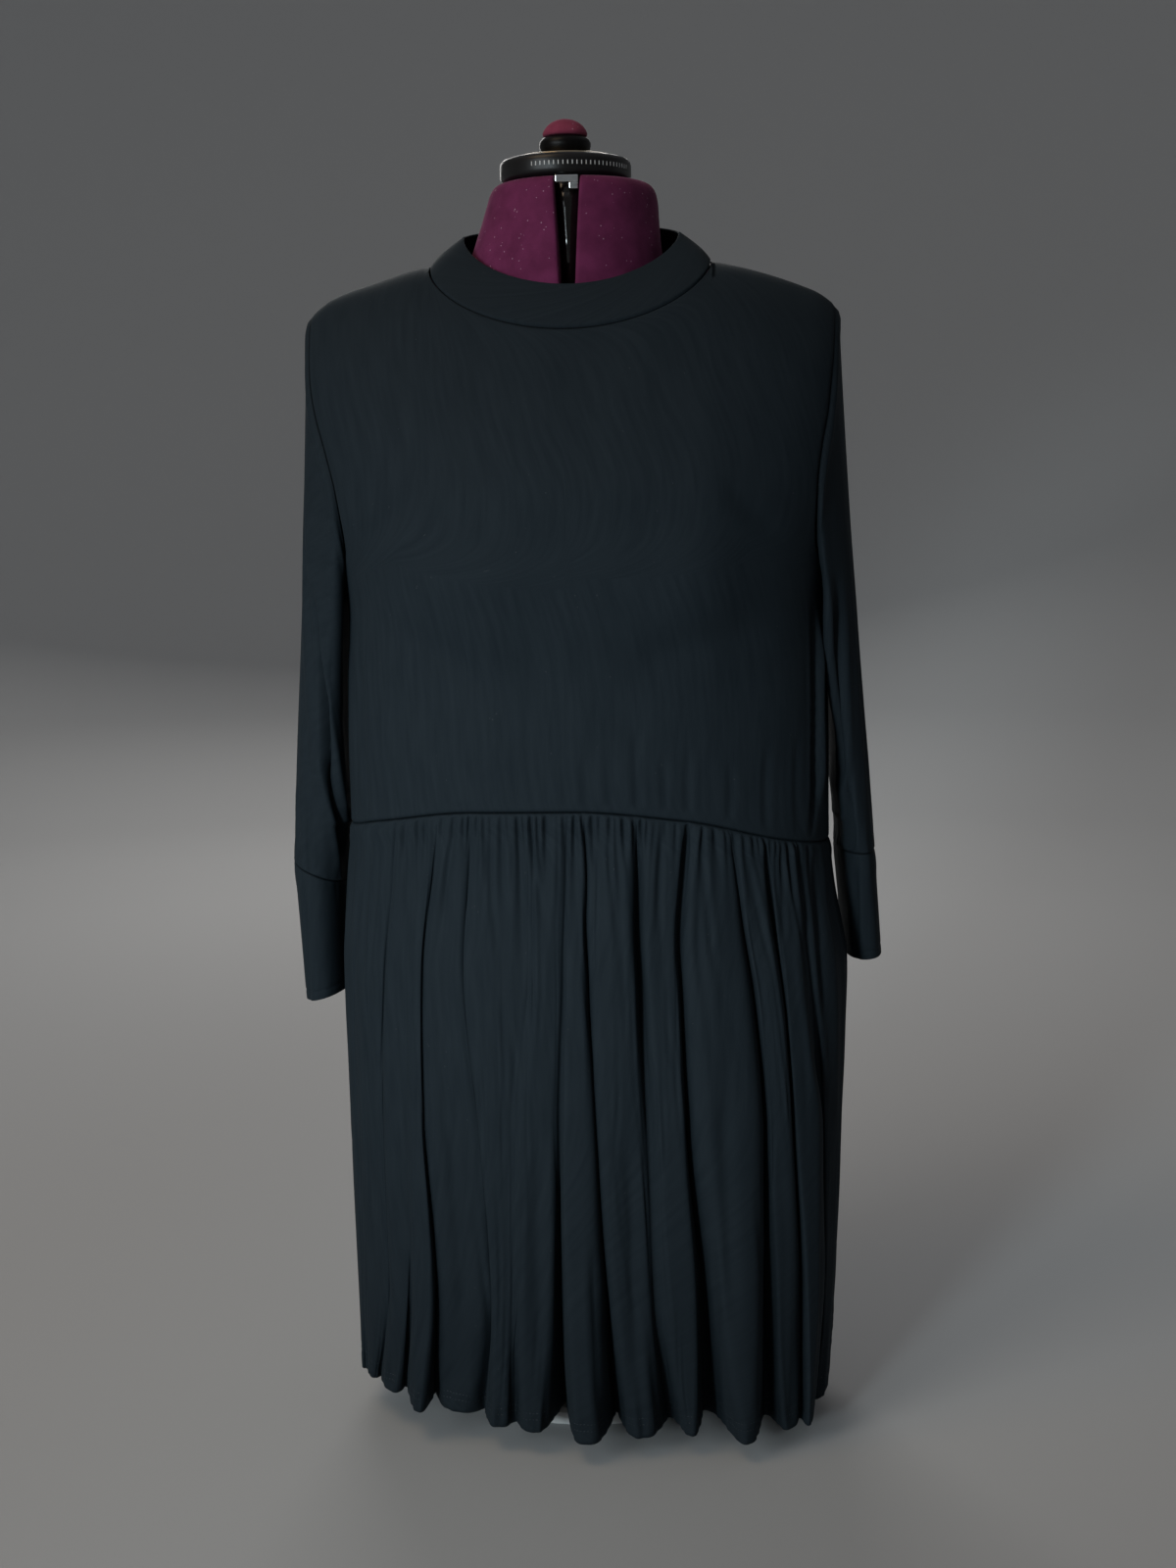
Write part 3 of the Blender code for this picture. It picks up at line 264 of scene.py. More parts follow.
SKIRT_FRONT_CREASES = in_mm(Crease,
    (-168, 524, -180, 400, 2, 2.3, 1.6), (-96, 536, -106, 452, 2, 2, 1.6),
    (-66, 540, -62, 440, 2, 2.3, 1.6), (-32, 540, -26, 470, 1, 1.9, 1.9), (26, 538, 34, 450, -1, 2, 1.5),
    (72, 536, 68, 452, 1, 2, 1.6), (105, 534, 112, 420, 2, 2.2, 2), (140, 522, 158, 420, 2, 2, 1.6),
    (165, 516, 170, 440, -1, 1.9, 1.9), (184, 470, 202, 300, 2, 3.4, 3.4),
    (196, 508, 205, 370, 1, 2.8, 3.6), (-104, 330, -98, 120, 2, 5, 2.2), (-30, 300, -34, 80, 2, 6, 2.4),
    (40, 300, 44, 60, -2, 6, 2.6), (120, 360, 126, 120, 3, 6, 2.6), (12, 210, 14, 38, 0, 3, 3))
SKIRT_BACK_CREASES = in_mm(Crease,
    (-130, 512, -136, 400, 2, 3.4, 2.8), (-86, 510, -92, 430, 2, 3, 2.8),
    (-42, 508, -44, 410, -1, 3.4, 2.6), (4, 508, 8, 430, 2, 3, 3), (50, 506, 54, 420, 1, 3.2, 2.6),
    (96, 504, 104, 400, 2, 3.4, 2.8), (140, 504, 150, 420, 1, 3, 2.8), (-40, 320, -38, 90, 2, 6, 2.6),
    (56, 330, 60, 80, -2, 6, 2.8), (108, 340, 110, 110, 3, 6, 2.4))
SLEEVE_RIGHT_CREASES = in_mm(Crease,
    (-217, 740, -212, 540, -2, 2.8, 8), (-218.5, 600, -206, 462, -3, 2.6, 7),
    (-233.5, 560, -233, 462, 0, 2, 2.2), (-230, 700, -229, 520, 1, 4, 1.6))
SLEEVE_LEFT_CREASES = in_mm(Crease,
    (229, 570, 231.5, 478, 1, 2.2, 4), (215, 740, 223, 560, 2, 3.4, 6), (206, 740, 216, 600, 2, 4, -3))
SLEEVE_SIDE_CREASES = {
    RIGHT_HAND: in_mm(Crease,
        (-30, 860, -50, 560, 6, 6, 4), (20, 800, 6, 520, -4, 7, 3.6), (-70, 640, -58, 500, 2, 4, 3),
        (-10, 560, -14, 494, 0, 3, 2.8)),
    LEFT_HAND: in_mm(Crease,
        (10, 870, 44, 560, -6, 6, 4), (-30, 780, -4, 520, 4, 7, 3.6), (70, 660, 64, 500, 2, 4, 3),
        (20, 570, 24, 496, 0, 3, 2.8)),
}
CUFF_CREASES = {
    RIGHT_HAND: in_mm(Crease,
        (-238.5, 486, -242, 360, 0, 2, 2.6)),
    LEFT_HAND: in_mm(Crease,
        (234, 494, 237, 398, 1, 2.2, 2.6)),
}

# Most air left between a sleeve and the side of the body, by height.
Beside = namedtuple("Beside", "height air")
BESIDE_BODY = {
    RIGHT_HAND: in_mm(Beside,
        (360, 2), (500, 2), (710, 2), (750, 40)),
    LEFT_HAND: in_mm(Beside,
        (360, 4), (450, 1.2), (495, 1.2), (510, 4.5), (530, 4.5), (550, 0.8), (710, 0.8), (750, 40)),
}

BACK_SLACK = 0.85         # share of that drawing in that the back of a sleeve goes without
BACK_SPAN = (0.35, 0.90)  # shares of the way from front to back over which that sets in
INNER_POWER = 1.5         # keeps the drawing in to the sleeve's inner face

# Soft rises and hollows of the cloth: centre as seen square on, half size across and upright, and height.
Swell = namedtuple("Swell", "across height half_width half_height rise")
BODICE_SWELLS = {
    FRONT: in_mm(Swell,
        (-92, 738, 56, 44, 6), (98, 734, 54, 42, 6), (4, 700, 30, 60, -0.8), (-30, 652, 80, 30, -3),
        (110, 648, 50, 28, -2), (-120, 590, 60, 30, 2), (40, 575, 60, 22, 2)),
    BACK: in_mm(Swell,
        (-86, 850, 50, 60, 4), (86, 846, 50, 60, 4), (0, 800, 26, 90, -3), (0, 620, 90, 34, -5)),
}

# Seams draw the cloth in: how far, and over what distance from the seam.
Pull = namedtuple("Pull", "depth width")
WAIST_PULL = Pull(0.0018, 0.0013)
COLLAR_PULL = Pull(0.0022, 0.0014)
ARMHOLE_PULL = Pull(0.0010, 0.0026)
SHOULDER_PULL = Pull(0.0005, 0.0025)
SIDE_PULL = Pull(0.0008, 0.0024)
CUFF_PULL = Pull(0.0008, 0.0014)
# Distances from a seam over which creases and gathers reach their full depth.
END_FADE = 0.012
EDGE_FADE = 0.006
SEAM_FADE = 0.004
ARMHOLE_FADE = 0.008
CUFF_FADE = 0.003

# The allowance behind a seam lifts the cloth beside it: how far, how far from the seam and how wide.
Roll = namedtuple("Roll", "rise away width")
SKIRT_ROLL = Roll(0.0008, 0.009, 0.006)
SLEEVE_ROLL = Roll(0.0014, 0.010, 0.009)
CUFF_ROLL = Roll(0.0006, 0.012, 0.010)

# Gathers: spacing along the seam, depth, how far they run, their width and the seed of their unevenness.
Gathers = namedtuple("Gathers", "spacing depth length width seed")


def both_sides(kind, front, back):
    """A row for either side of the dress, from lengths in millimetres and a seed."""
    return {side: kind(*in_metres(row[:-1]), row[-1]) for side, row in ((FRONT, front), (BACK, back))}


SKIRT_GATHERS = both_sides(Gathers, (6.8, 2.5, 38, 1.3, 11), (7.2, 2.5, 38, 1.3, 23))
FINE_RIPPLES = both_sides(Gathers, (9.5, 0.9, 170, 1.8, 81), (9.5, 0.9, 170, 1.8, 87))
SKIRT_RIPPLES = both_sides(Gathers, (15, 1.4, 200, 2.8, 61), (15, 1.4, 200, 2.8, 67))
HEM_RIPPLES = both_sides(Gathers, (18, 2.2, 90, 3.6, 71), (18, 2.2, 90, 3.6, 73))
PUCKERS = both_sides(Gathers, (10, 0.7, 10, 2.2, 5), (10.5, 0.7, 10, 2.2, 17))
CUFF_PUCKERS = Gathers(0.0100, 0.0012, 0.009, 0.0022, 31)
COLLAR_PUCKERS = Gathers(0.0160, 0.0004, 0.006, 0.0030, 43)
# Crinkles: depth, length, width and seed of short wrinkles scattered over a hanging piece.
Crinkles = namedtuple("Crinkles", "depth length width seed")
SKIRT_CRINKLES = both_sides(Crinkles, (0.6, 95, 1.6, 101), (0.6, 95, 1.6, 103))
CRINKLE_COUNT = 300
WAVE_COUNT = 7


# ---------------------------------------------------------------- curves
def mix(start, end, share):
    return start + (end - start) * share


def smooth_step(low, high, value):
    share = np.clip((value - low) / (high - low), 0.0, 1.0)
    return share * share * (3.0 - 2.0 * share)


def signed_power(value, power):
    return np.sign(value) * np.abs(value) ** power


def bell(distance, width):
    """Smooth bump of height 1 that has died away at about twice its width."""
    return np.exp(-(distance / width) ** 2)


def smooth_curve(keys, values, position):
    """Values on a smooth curve through the rows that never overshoots them."""
    keys = np.asarray(keys, dtype=float)
    values = np.asarray(values, dtype=float)
    position = np.clip(position, keys[0], keys[-1])
    index = np.clip(np.searchsorted(keys, position, side="right") - 1, 0, len(keys) - 2)
    slopes = np.diff(values) / np.diff(keys)
    tangents = np.zeros(len(keys))
    tangents[[0, -1]] = slopes[[0, -1]]
    for row in range(1, len(keys) - 1):
        if slopes[row - 1] * slopes[row] > 0.0:
            tangents[row] = 2.0 * slopes[row - 1] * slopes[row] / (slopes[row - 1] + slopes[row])
    width = keys[index + 1] - keys[index]
    t = (position - keys[index]) / width
    starts = (1.0 + 2.0 * t) * (1.0 - t) ** 2 * values[index] + t * t * (3.0 - 2.0 * t) * values[index + 1]
    slants = t * (1.0 - t) ** 2 * tangents[index] + t * t * (t - 1.0) * tangents[index + 1]
    return starts + width * slants


def planned_shares(plan):
    """Shares for each row of a grid, straight between the rows that the plan names."""
    rows = [row for row, share in plan]
    return np.interp(np.arange(rows[-1] + 1), rows, [share for row, share in plan])


def smooth_value(rows, name, position):
    """Smooth value of a table's named column where its first column has this position."""
    return smooth_curve([row[0] for row in rows], [getattr(row, name) for row in rows], position)


def side_name(side):
    return "front" if side == FRONT else "back"


# ---------------------------------------------------------------- surfaces, as in the CAD source
def shoulder_height(x, side):
    return smooth_value(SHOULDER_LINE, side_name(side), np.abs(x))


def body_depth(x, z, side):
    """How far the bodice stands off the side plane at a place seen from the front."""
    shift = smooth_value(BODICE_SECTIONS, "shift", z)
    half_width = smooth_value(BODICE_SECTIONS, "half_width", z)
    depth = smooth_value(BODICE_SECTIONS, side_name(side), z)
    reach = np.minimum(1.0, np.abs(x - shift) / half_width)
    flank = (1.0 - reach ** SECTION_POWER) ** (1.0 / SECTION_POWER)
    below_seam = np.clip((shoulder_height(x, side) - z) / SHOULDER_ROUND[side], 0.0, 1.0)
    roll = np.sqrt(1.0 - (1.0 - below_seam) ** 2)
    return depth * flank * roll


def edge_x(z, hand):
    """Side seam below the underarm, armhole edge above it."""
    shift = smooth_value(BODICE_SECTIONS, "shift", z)
    seam = smooth_value(BODICE_SECTIONS, "half_width", z)
    armhole = smooth_value(ARMHOLE, "reach", z)
    below = np.exp(-np.maximum(0.0, z - UNDERARM_HEIGHT) / UNDERARM_BLEND)
    return shift + hand * mix(armhole, seam, below)


def neck_seam(turn, side):
    across = NECK_HALF_WIDTH * np.sin(0.5 * np.pi * turn)
    fall = np.abs(np.cos(0.5 * np.pi * turn)) ** NECK_DROP_POWER
    return across, NECK_SIDE_HEIGHT - NECK_DROP[side] * fall


def panel_top(place, side):
    neck_x, neck_z = neck_seam(np.clip(place / NECK_SHARE, -1.0, 1.0), side)
    out = np.clip((np.abs(place) - NECK_SHARE) / (1.0 - NECK_SHARE), 0.0, 1.0)
    shoulder_x = np.sign(place) * mix(NECK_HALF_WIDTH, SHOULDER_LINE[-1].across, out)
    on_neck = np.abs(place) <= NECK_SHARE + 1e-9
    top_z = np.where(on_neck, neck_z, shoulder_height(shoulder_x, side))
    return np.where(on_neck, neck_x, shoulder_x), top_z


def panel_bottom(place, side):
    share = signed_power(np.sin(0.5 * np.pi * place), 2.0 / SECTION_POWER)
    shift = smooth_value(BODICE_SECTIONS, "shift", WAIST_HEIGHT)
    half_width = smooth_value(BODICE_SECTIONS, "half_width", WAIST_HEIGHT)
    across = shift + half_width * share
    return across, smooth_value(WAIST_LINE, side_name(side), across)


def armhole_height(turn):
    middle = 0.5 * (SHOULDER_TIP_HEIGHT + UNDERARM_HEIGHT)
    return middle - (SHOULDER_TIP_HEIGHT - middle) * np.cos(np.pi * turn)


def panel_rises():
    """Share of the way up a panel's side edge for each row; the rows above the underarm fit the armhole."""
    lowest = WAIST_LINE[0].front
    span = SHOULDER_TIP_HEIGHT - lowest
    underarm = (UNDERARM_HEIGHT - lowest) / span
    seam_rises = underarm * (np.arange(SIDE_SEAM_ROWS) / SIDE_SEAM_ROWS) ** WAIST_ROW_POWER
    armhole_rises = (armhole_height(np.arange(ARMHOLE_ROWS + 1) / ARMHOLE_ROWS) - lowest) / span
    return np.concatenate([seam_rises, armhole_rises])


def edge_height(rise, hand, side):
    lowest = WAIST_LINE[0].front
    level = mix(lowest, SHOULDER_TIP_HEIGHT, rise)
    seam_end = panel_bottom(hand, side)[1]
    below = mix(seam_end, UNDERARM_HEIGHT, (level - lowest) / (UNDERARM_HEIGHT - lowest))
    return np.where(level >= UNDERARM_HEIGHT, level, below)


def panel_places():
    """Places of a bodice panel's columns, closer together towards the armholes."""
    middle = np.linspace(-NECK_SHARE, NECK_SHARE, NECK_COLUMNS + 1)
    steps = np.arange(1, SHOULDER_COLUMNS + 1) / SHOULDER_COLUMNS
    outer = mix(NECK_SHARE, 1.0, 1.0 - (1.0 - steps) ** EDGE_CROWDING)
    return np.concatenate([-outer[::-1], middle, outer])


def bodice_surface(side):
    """Grid of points from the waist up, from the wearer's right to left."""
    rise, place = np.meshgrid(panel_rises(), panel_places(), indexing="ij")
    hand = np.where(place < 0.0, -1.0, 1.0)
    low_x, low_z = panel_bottom(place, side)
    high_x, high_z = panel_top(place, side)
    edge_low_x, edge_low_z = panel_bottom(hand, side)
    edge_high_x, edge_high_z = panel_top(hand, side)
    edge_z = edge_height(rise, hand, side)
    share = mix(low_x / edge_low_x, high_x / edge_high_x, rise * rise * (3.0 - 2.0 * rise))
    x = edge_x(edge_z, hand) * share
    z = mix(low_z, high_z, (edge_z - edge_low_z) / (edge_high_z - edge_low_z))
    y = side * np.maximum(SIDE_GAP, body_depth(x, z, side))
    return np.stack([x, y, z], axis=-1), place


def collar_surface(angle, rise):
    """Angle 0 is the wearer's left shoulder and a quarter turn is the centre front."""
    front = np.sin(angle) > -1e-9
    turn = 1.0 - 2.0 * np.arccos(np.cos(angle)) / np.pi
    front_x, front_z = neck_seam(turn, FRONT)
    back_x, back_z = neck_seam(turn, BACK)
    seam_z = np.where(front, front_z, back_z)
    seam_y = np.where(front, -body_depth(front_x, front_z, FRONT), body_depth(back_x, back_z, BACK))
    seam = np.stack([front_x, seam_y, seam_z], axis=-1)
    lift = np.abs(np.sin(angle)) ** NECK_DROP_POWER
    depth = np.where(front, -COLLAR_TOP_DEPTH[FRONT], COLLAR_TOP_DEPTH[BACK])
    climb = np.where(front, COLLAR_TOP_RISE[FRONT], COLLAR_TOP_RISE[BACK])
    top = np.stack([COLLAR_TOP_HALF_WIDTH * np.cos(angle), depth * np.abs(np.sin(angle)),
                    COLLAR_TOP_SIDE_HEIGHT + climb * lift], axis=-1)
    outward = np.stack([front_x, seam_y, np.zeros_like(seam_y)], axis=-1)
    outward /= np.linalg.norm(outward, axis=-1, keepdims=True)
    bulge = COLLAR_BULGE * np.sin(np.pi * np.clip(rise, 0.0, 1.0))
    return mix(seam, top, rise[..., None]) + outward * bulge[..., None]


def armhole_surface(angle, hand):
    """Angle 0 is the shoulder tip and a quarter turn is the front of the armhole."""
    z = armhole_height(1.0 - np.arccos(np.cos(angle)) / np.pi)
    x = edge_x(z, hand)
    front = np.sin(angle) > 0.0
    y = np.where(front, -body_depth(x, z, FRONT), body_depth(x, z, BACK))
    return np.stack([x, y, z], axis=-1)


def ring_surface(ring, angle, hand):
    out = hand * ring.half_x * signed_power(np.cos(angle), 2.0 / SLEEVE_RING_POWER)
    forward = -ring.half_y * signed_power(np.sin(angle), 2.0 / SLEEVE_RING_POWER)
    turn = np.radians(ring.turn)
    x = ring.x + out * np.cos(turn) - forward * np.sin(turn)
    y = ring.y + out * np.sin(turn) + forward * np.cos(turn)
    return np.stack([x, y, ring.z + ring.slope * (x - ring.x)], axis=-1)


def tube_angles(hand):
    return hand * 2.0 * np.pi * np.arange(TUBE_COLUMNS) / TUBE_COLUMNS


def sleeve_surface(hand):
    along, angle = np.meshgrid(planned_shares(SLEEVE_ROW_PLAN), tube_angles(hand), indexing="ij")
    start = armhole_surface(angle, hand)
    start[..., 0] += hand * SLEEVE_CAP * (1.0 - np.exp(-along / SLEEVE_CAP_RUN))
    end = ring_surface(SLEEVE_END[hand], angle, hand)
    points = mix(start, end, along[..., None])
    points[..., 0] = mix(start[..., 0], end[..., 0], along ** SLEEVE_FLARE)
    return points


def cuff_surface(hand):
    along, angle = np.meshgrid(planned_shares(CUFF_ROW_PLAN), tube_angles(hand), indexing="ij")
    ring = Ring(*(mix(start, end, along) for start, end in zip(SLEEVE_END[hand], CUFF_END[hand])))
    return ring_surface(ring, angle, hand)


# ---------------------------------------------------------------- skirt
def skirt_sizes(height, side):
    shift = smooth_value(SKIRT_SECTIONS, "shift", height)
    half_width = smooth_value(SKIRT_SECTIONS, "half_width", height)
    depth = smooth_value(SKIRT_SECTIONS, side_name(side), height)
    return shift, half_width, depth


def skirt_place(across, height, side):
    shift, half_width = skirt_sizes(height, side)[:2]
    share = np.clip((across - shift) / half_width, -1.0, 1.0)
    return np.sign(share) * np.arcsin(np.abs(share) ** (SECTION_POWER / 2.0)) * 2.0 / np.pi


def skirt_section(place, height, side):
    shift, half_width, depth = skirt_sizes(height, side)
    x = half_width * signed_power(np.sin(0.5 * np.pi * place), 2.0 / SECTION_POWER)
    y = depth * np.abs(np.cos(0.5 * np.pi * place)) ** (2.0 / SECTION_POWER)
    return x + shift, y


def crest_lean(before, after, crest_place):
    """Power that puts a fold's crest where it is seen at the hem."""
    share = min(LEAN_LIMITS[1], max(LEAN_LIMITS[0], (crest_place - before) / (after - before)))
    return math.log(0.5) / math.log(share)


def skirt_surface(side):
    """Grid of points from the waist down, from the wearer's right to left."""
    folds = FRONT_FOLDS if side == FRONT else BACK_FOLDS
    falls = planned_shares(SKIRT_ROW_PLAN)
    heights = mix(WAIST_HEIGHT, HEM_HEIGHT, falls)
    hem_shift, hem_half_width = skirt_sizes(HEM_HEIGHT, side)[:2]
    hem_places = [fold.places[-1] for fold in folds] + [hem_shift + hem_half_width]
    waist_places = [fold.places[0] for fold in folds]
    waist_places = [panel_bottom(-1.0, side)[0], *waist_places, panel_bottom(1.0, side)[0]]
    depth_levels = (FOLD_LEVELS[0], FOLD_START_LEVEL) + FOLD_LEVELS[1:]
    level = np.zeros_like(falls)
    places = [level - 1.0]
    depths = [level]
    crests = [FIRST_CREST[side]]
    leans = [1.0]
    powers = [SIDE_SHARPNESS]
    for index, fold in enumerate(folds):
        places.append(skirt_place(smooth_curve(FOLD_LEVELS, fold.places, falls), heights, side))
        fold_depths = (0.0, FOLD_START_SHARE * fold.depths[0], *fold.depths)
        depths.append(smooth_curve(depth_levels, fold_depths, falls))
        crests.append(fold.crest)
        leans.append(crest_lean(hem_places[index], hem_places[index + 1], fold.crest_place))
        powers.append(fold.sharpness)
    places.append(level + 1.0)
    depths.append(level)
    powers.append(SIDE_SHARPNESS)
    opened = falls ** HEM_SHARPNESS_GROWTH
    flatness = 1.0 + CREST_FLATNESS * (1.0 - HEM_ROUNDING * falls ** CREST_FLATNESS_FALL)
    columns = []
    for index in range(len(places) - 1):
        count = max(LEAST_COLUMNS, round((waist_places[index + 1] - waist_places[index]) / COLUMN_WIDTH))
        width = FOLD_SPREAD * (places[index + 1] - places[index])
        for step in range(count):
            share = mix(step / count, 0.5 - 0.5 * math.cos(math.pi * step / count), VALLEY_CROWDING)
            leaned = share ** mix(1.0, leans[index], falls)
            power = mix(mix(powers[index], powers[index + 1], share), HEM_SHARPNESS, opened)
            swell = 1.0 - (1.0 - np.sin(np.pi * leaned) ** power) ** flatness
            valley = np.where(leaned < 0.5, depths[index], depths[index + 1])
            inward = mix(valley, -crests[index] * falls ** CREST_GROWTH, swell)
            curl = np.minimum(FOLD_CURL * valley, CURL_LIMIT * width) * (1.0 - opened)
            place = mix(places[index], places[index + 1], share)
            columns.append((place, inward, -curl * np.sin(2.0 * np.pi * leaned)))
    columns.append((places[-1], depths[-1], level))
    place, inward, curl = (np.stack(values, axis=1) for values in zip(*columns))
    edge_fade = 1.0 - np.abs(place) ** EDGE_FADE_POWER
    waist_x, waist_z = panel_bottom(place, side)
    hem_z = smooth_value(HEM_LINE, side_name(side), hem_half_width * place)
    z = mix(waist_z, hem_z, falls[:, None])
    x, y = skirt_section(place, z, side)
    near_waist = np.clip(1.0 - falls[:, None] / WAIST_BLEND, 0.0, 1.0) ** 2
    x = mix(x, waist_x, near_waist) + curl * edge_fade
    y = mix(y, body_depth(waist_x, waist_z, side), near_waist) - inward * edge_fade
    y = np.maximum(y, form_depth(x, z, side))
    return np.stack([x, side * np.maximum(SIDE_GAP, y), z], axis=-1)


def form_depth(x, z, side):
    """How far the dress form and the air round it stand off the side plane; nothing below its edge."""
    half_width = smooth_value(FORM_SECTIONS, "half_width", z) + FORM_CLEARANCE
    depth = smooth_value(FORM_SECTIONS, side_name(side), z) + FORM_CLEARANCE
    reach = np.minimum(1.0, np.abs(x) / half_width)
    flank = (1.0 - reach ** FORM_POWER) ** (1.0 / FORM_POWER)
    return depth * flank * smooth_step(*FORM_FOOT, z)


# ---------------------------------------------------------------- moving the cloth along its normals
def grid_normals(points, closed, outward):
    """Unit normals of a grid; outward is 1 or -1, for the way round its columns go."""
    if closed:
        along_columns = 0.5 * (np.roll(points, -1, axis=1) - np.roll(points, 1, axis=1))
    else:
        along_columns = np.gradient(points, axis=1)
    normals = outward * np.cross(along_columns, np.gradient(points, axis=0))
    return normals / np.maximum(np.linalg.norm(normals, axis=-1, keepdims=True), 1e-12)


def distance_along(points, axis, from_end=False):
    """Length of cloth from the grid's first or last line to each point."""
    lengths = np.cumsum(np.linalg.norm(np.diff(points, axis=axis), axis=-1), axis=axis)
    lengths = np.concatenate([0.0 * lengths.take([0], axis=axis), lengths], axis=axis)
    return lengths.take([-1], axis=axis) - lengths if from_end else lengths


def distance_from_edge(points):
    return np.minimum(distance_along(points, 1), distance_along(points, 1, True))


def seam_pull(distance, pull):
    return -pull.depth * bell(distance, pull.width)


def seam_roll(distance, roll):
    return roll.rise * bell(distance - roll.away, roll.width)


def crease_field(across, height, creases):
    """Sum of the creases at places seen square on."""
    field = np.zeros_like(across)
    for crease in creases:
        length = np.hypot(crease.end_x - crease.start_x, crease.end_z - crease.start_z)
        line_x = (crease.end_x - crease.start_x) / length
        line_z = (crease.end_z - crease.start_z) / length
        offset_x = across - crease.start_x
        offset_z = height - crease.start_z
        along = (offset_x * line_x + offset_z * line_z) / length
        inside = np.clip(along, 0.0, 1.0)
        away = offset_x * line_z - offset_z * line_x - crease.bow * 4.0 * inside * (1.0 - inside)
        reach = smooth_step(0.0, 0.35, along) * (1.0 - smooth_step(0.80, 1.12, along))
        brim = bell(np.abs(away) - BRIM_PLACE * crease.width, crease.width)
        field -= crease.depth * reach * (bell(away, crease.width) - BRIM_SHARE * brim)
    return field


def swell_field(across, height, swells):
    field = np.zeros_like(across)
    for swell in swells:
        rise = swell.rise * bell(across - swell.across, swell.half_width)
        field += rise * bell(height - swell.height, swell.half_height)
    return field


def gather_field(around, distance, gathers, strength=1.0):
    """Uneven narrow troughs that start at a seam and die away from it."""
    chance = np.random.default_rng(gathers.seed)
    field = np.zeros(np.broadcast(around, distance).shape)
    place = np.min(around)
    while place < np.max(around):
        place += gathers.spacing * chance.uniform(0.55, 1.45)
        depth = gathers.depth * chance.uniform(0.45, 1.25)
        length = gathers.length * chance.choice((0.45, 0.7, 1.0, 1.7, 2.6))
        width = gathers.width * chance.uniform(0.85, 1.35)
        drift = chance.uniform(-0.05, 0.05)
        envelope = (0.35 + 0.65 * smooth_step(0.0, 0.010, distance)) * np.exp(-(distance / length) ** 1.4)
        away = (around - place - drift * distance) / (width * (1.0 + distance / 0.060))
        field -= depth * envelope * (bell(away, 1.0) - 0.35 * bell(np.abs(away) - 1.9, 1.0))
    return field * strength


def crinkle_field(around, drop, crinkles):
    """Short shallow wrinkles, nearly upright, scattered unevenly over a hanging piece."""
    chance = np.random.default_rng(crinkles.seed)
    field = np.zeros(np.broadcast(around, drop).shape)
    for _ in range(CRINKLE_COUNT):
        place = chance.uniform(np.min(around), np.max(around))
        middle = chance.uniform(0.0, np.max(drop))
        along = (drop - middle) / (0.5 * crinkles.length * chance.uniform(0.5, 1.6))
        width = crinkles.width * chance.uniform(0.7, 1.5)
        lean = chance.uniform(-0.06, 0.06)
        bend = width * chance.uniform(-1.0, 1.0)
        away = (around - place - lean * (drop - middle) - bend * along ** 2) / width
        trough = bell(away, 1.0) - 0.5 * bell(np.abs(away) - 1.7, 1.0)
        field -= crinkles.depth * chance.uniform(0.3, 1.3) * bell(along, 1.0) * trough
    return field


def soft_waves(across, height, size, seed):
    """Faint broad unevenness of hanging cloth."""
    chance = np.random.default_rng(seed)
    field = np.zeros_like(across)
    for _ in range(WAVE_COUNT):
        pitch = chance.uniform(0.05, 0.14)
        heading = chance.uniform(-0.5, 0.5)
        start = chance.uniform(0.0, 2.0 * np.pi)
        wave = across * np.cos(heading) + height * np.sin(heading) * 0.5
        field += np.sin(2.0 * np.pi * wave / pitch + start)
    return size * field / WAVE_COUNT


def waist_strength(across):
    """Where the waist seam is drawn up most."""
    return (0.35 + bell(across - 0.045, 0.060) + 0.7 * bell(across + 0.125, 0.035)
            + 0.8 * bell(across - 0.190, 0.022))


# ---------------------------------------------------------------- meshes
def new_object(name, vertices, faces, material, smooth=True):
    mesh = bpy.data.meshes.new(name)
    mesh.from_pydata([tuple(vertex) for vertex in vertices], [], faces)
    if smooth:
        mesh.shade_smooth()
    mesh.update()
    mesh.materials.append(material)
    shown = bpy.data.objects.new(name, mesh)
    bpy.context.scene.collection.objects.link(shown)
    return shown


def cloth_object(name, points, closed, flip, from_seam, wall):
    """Mesh from a grid, with a wall inside it; places on the cloth and from a seam are kept in metres."""
    index = np.arange(points[..., 0].size).reshape(points.shape[:2])
    if closed:
        index = np.concatenate([index, index[:, :1]], axis=1)
    corners = [index[:-1, :-1], index[:-1, 1:], index[1:, 1:], index[1:, :-1]]
    quads = np.stack(corners, axis=-1).reshape(-1, 4)
    if flip:
        quads = quads[:, ::-1]
    shown = new_object(name, points.reshape(-1, 3).tolist(), quads.tolist(), jersey)
    down = distance_along(points, 0)
    place = np.stack([distance_along(points, 1), down, np.zeros_like(down)], axis=-1)
    on_cloth = shown.data.attributes.new("cloth_place", "FLOAT_VECTOR", "POINT")
    on_cloth.data.foreach_set("vector", place.reshape(-1).astype(np.float32))
    seam = shown.data.attributes.new("seam_distance", "FLOAT", "POINT")
    seam.data.foreach_set("value", from_seam.reshape(-1).astype(np.float32))
    if wall:
        solid = shown.modifiers.new("wall", "SOLIDIFY")
        solid.thickness = wall
        solid.offset = -1.0
    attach(shown, "root")
    return shown


def moved_out(points, normals, field, side):
    """Points of a panel moved along their normals, and kept on their own side."""
    points = points + normals * field[..., None]
    points[..., 1] = side * np.maximum(SIDE_GAP, side * points[..., 1])
    return points


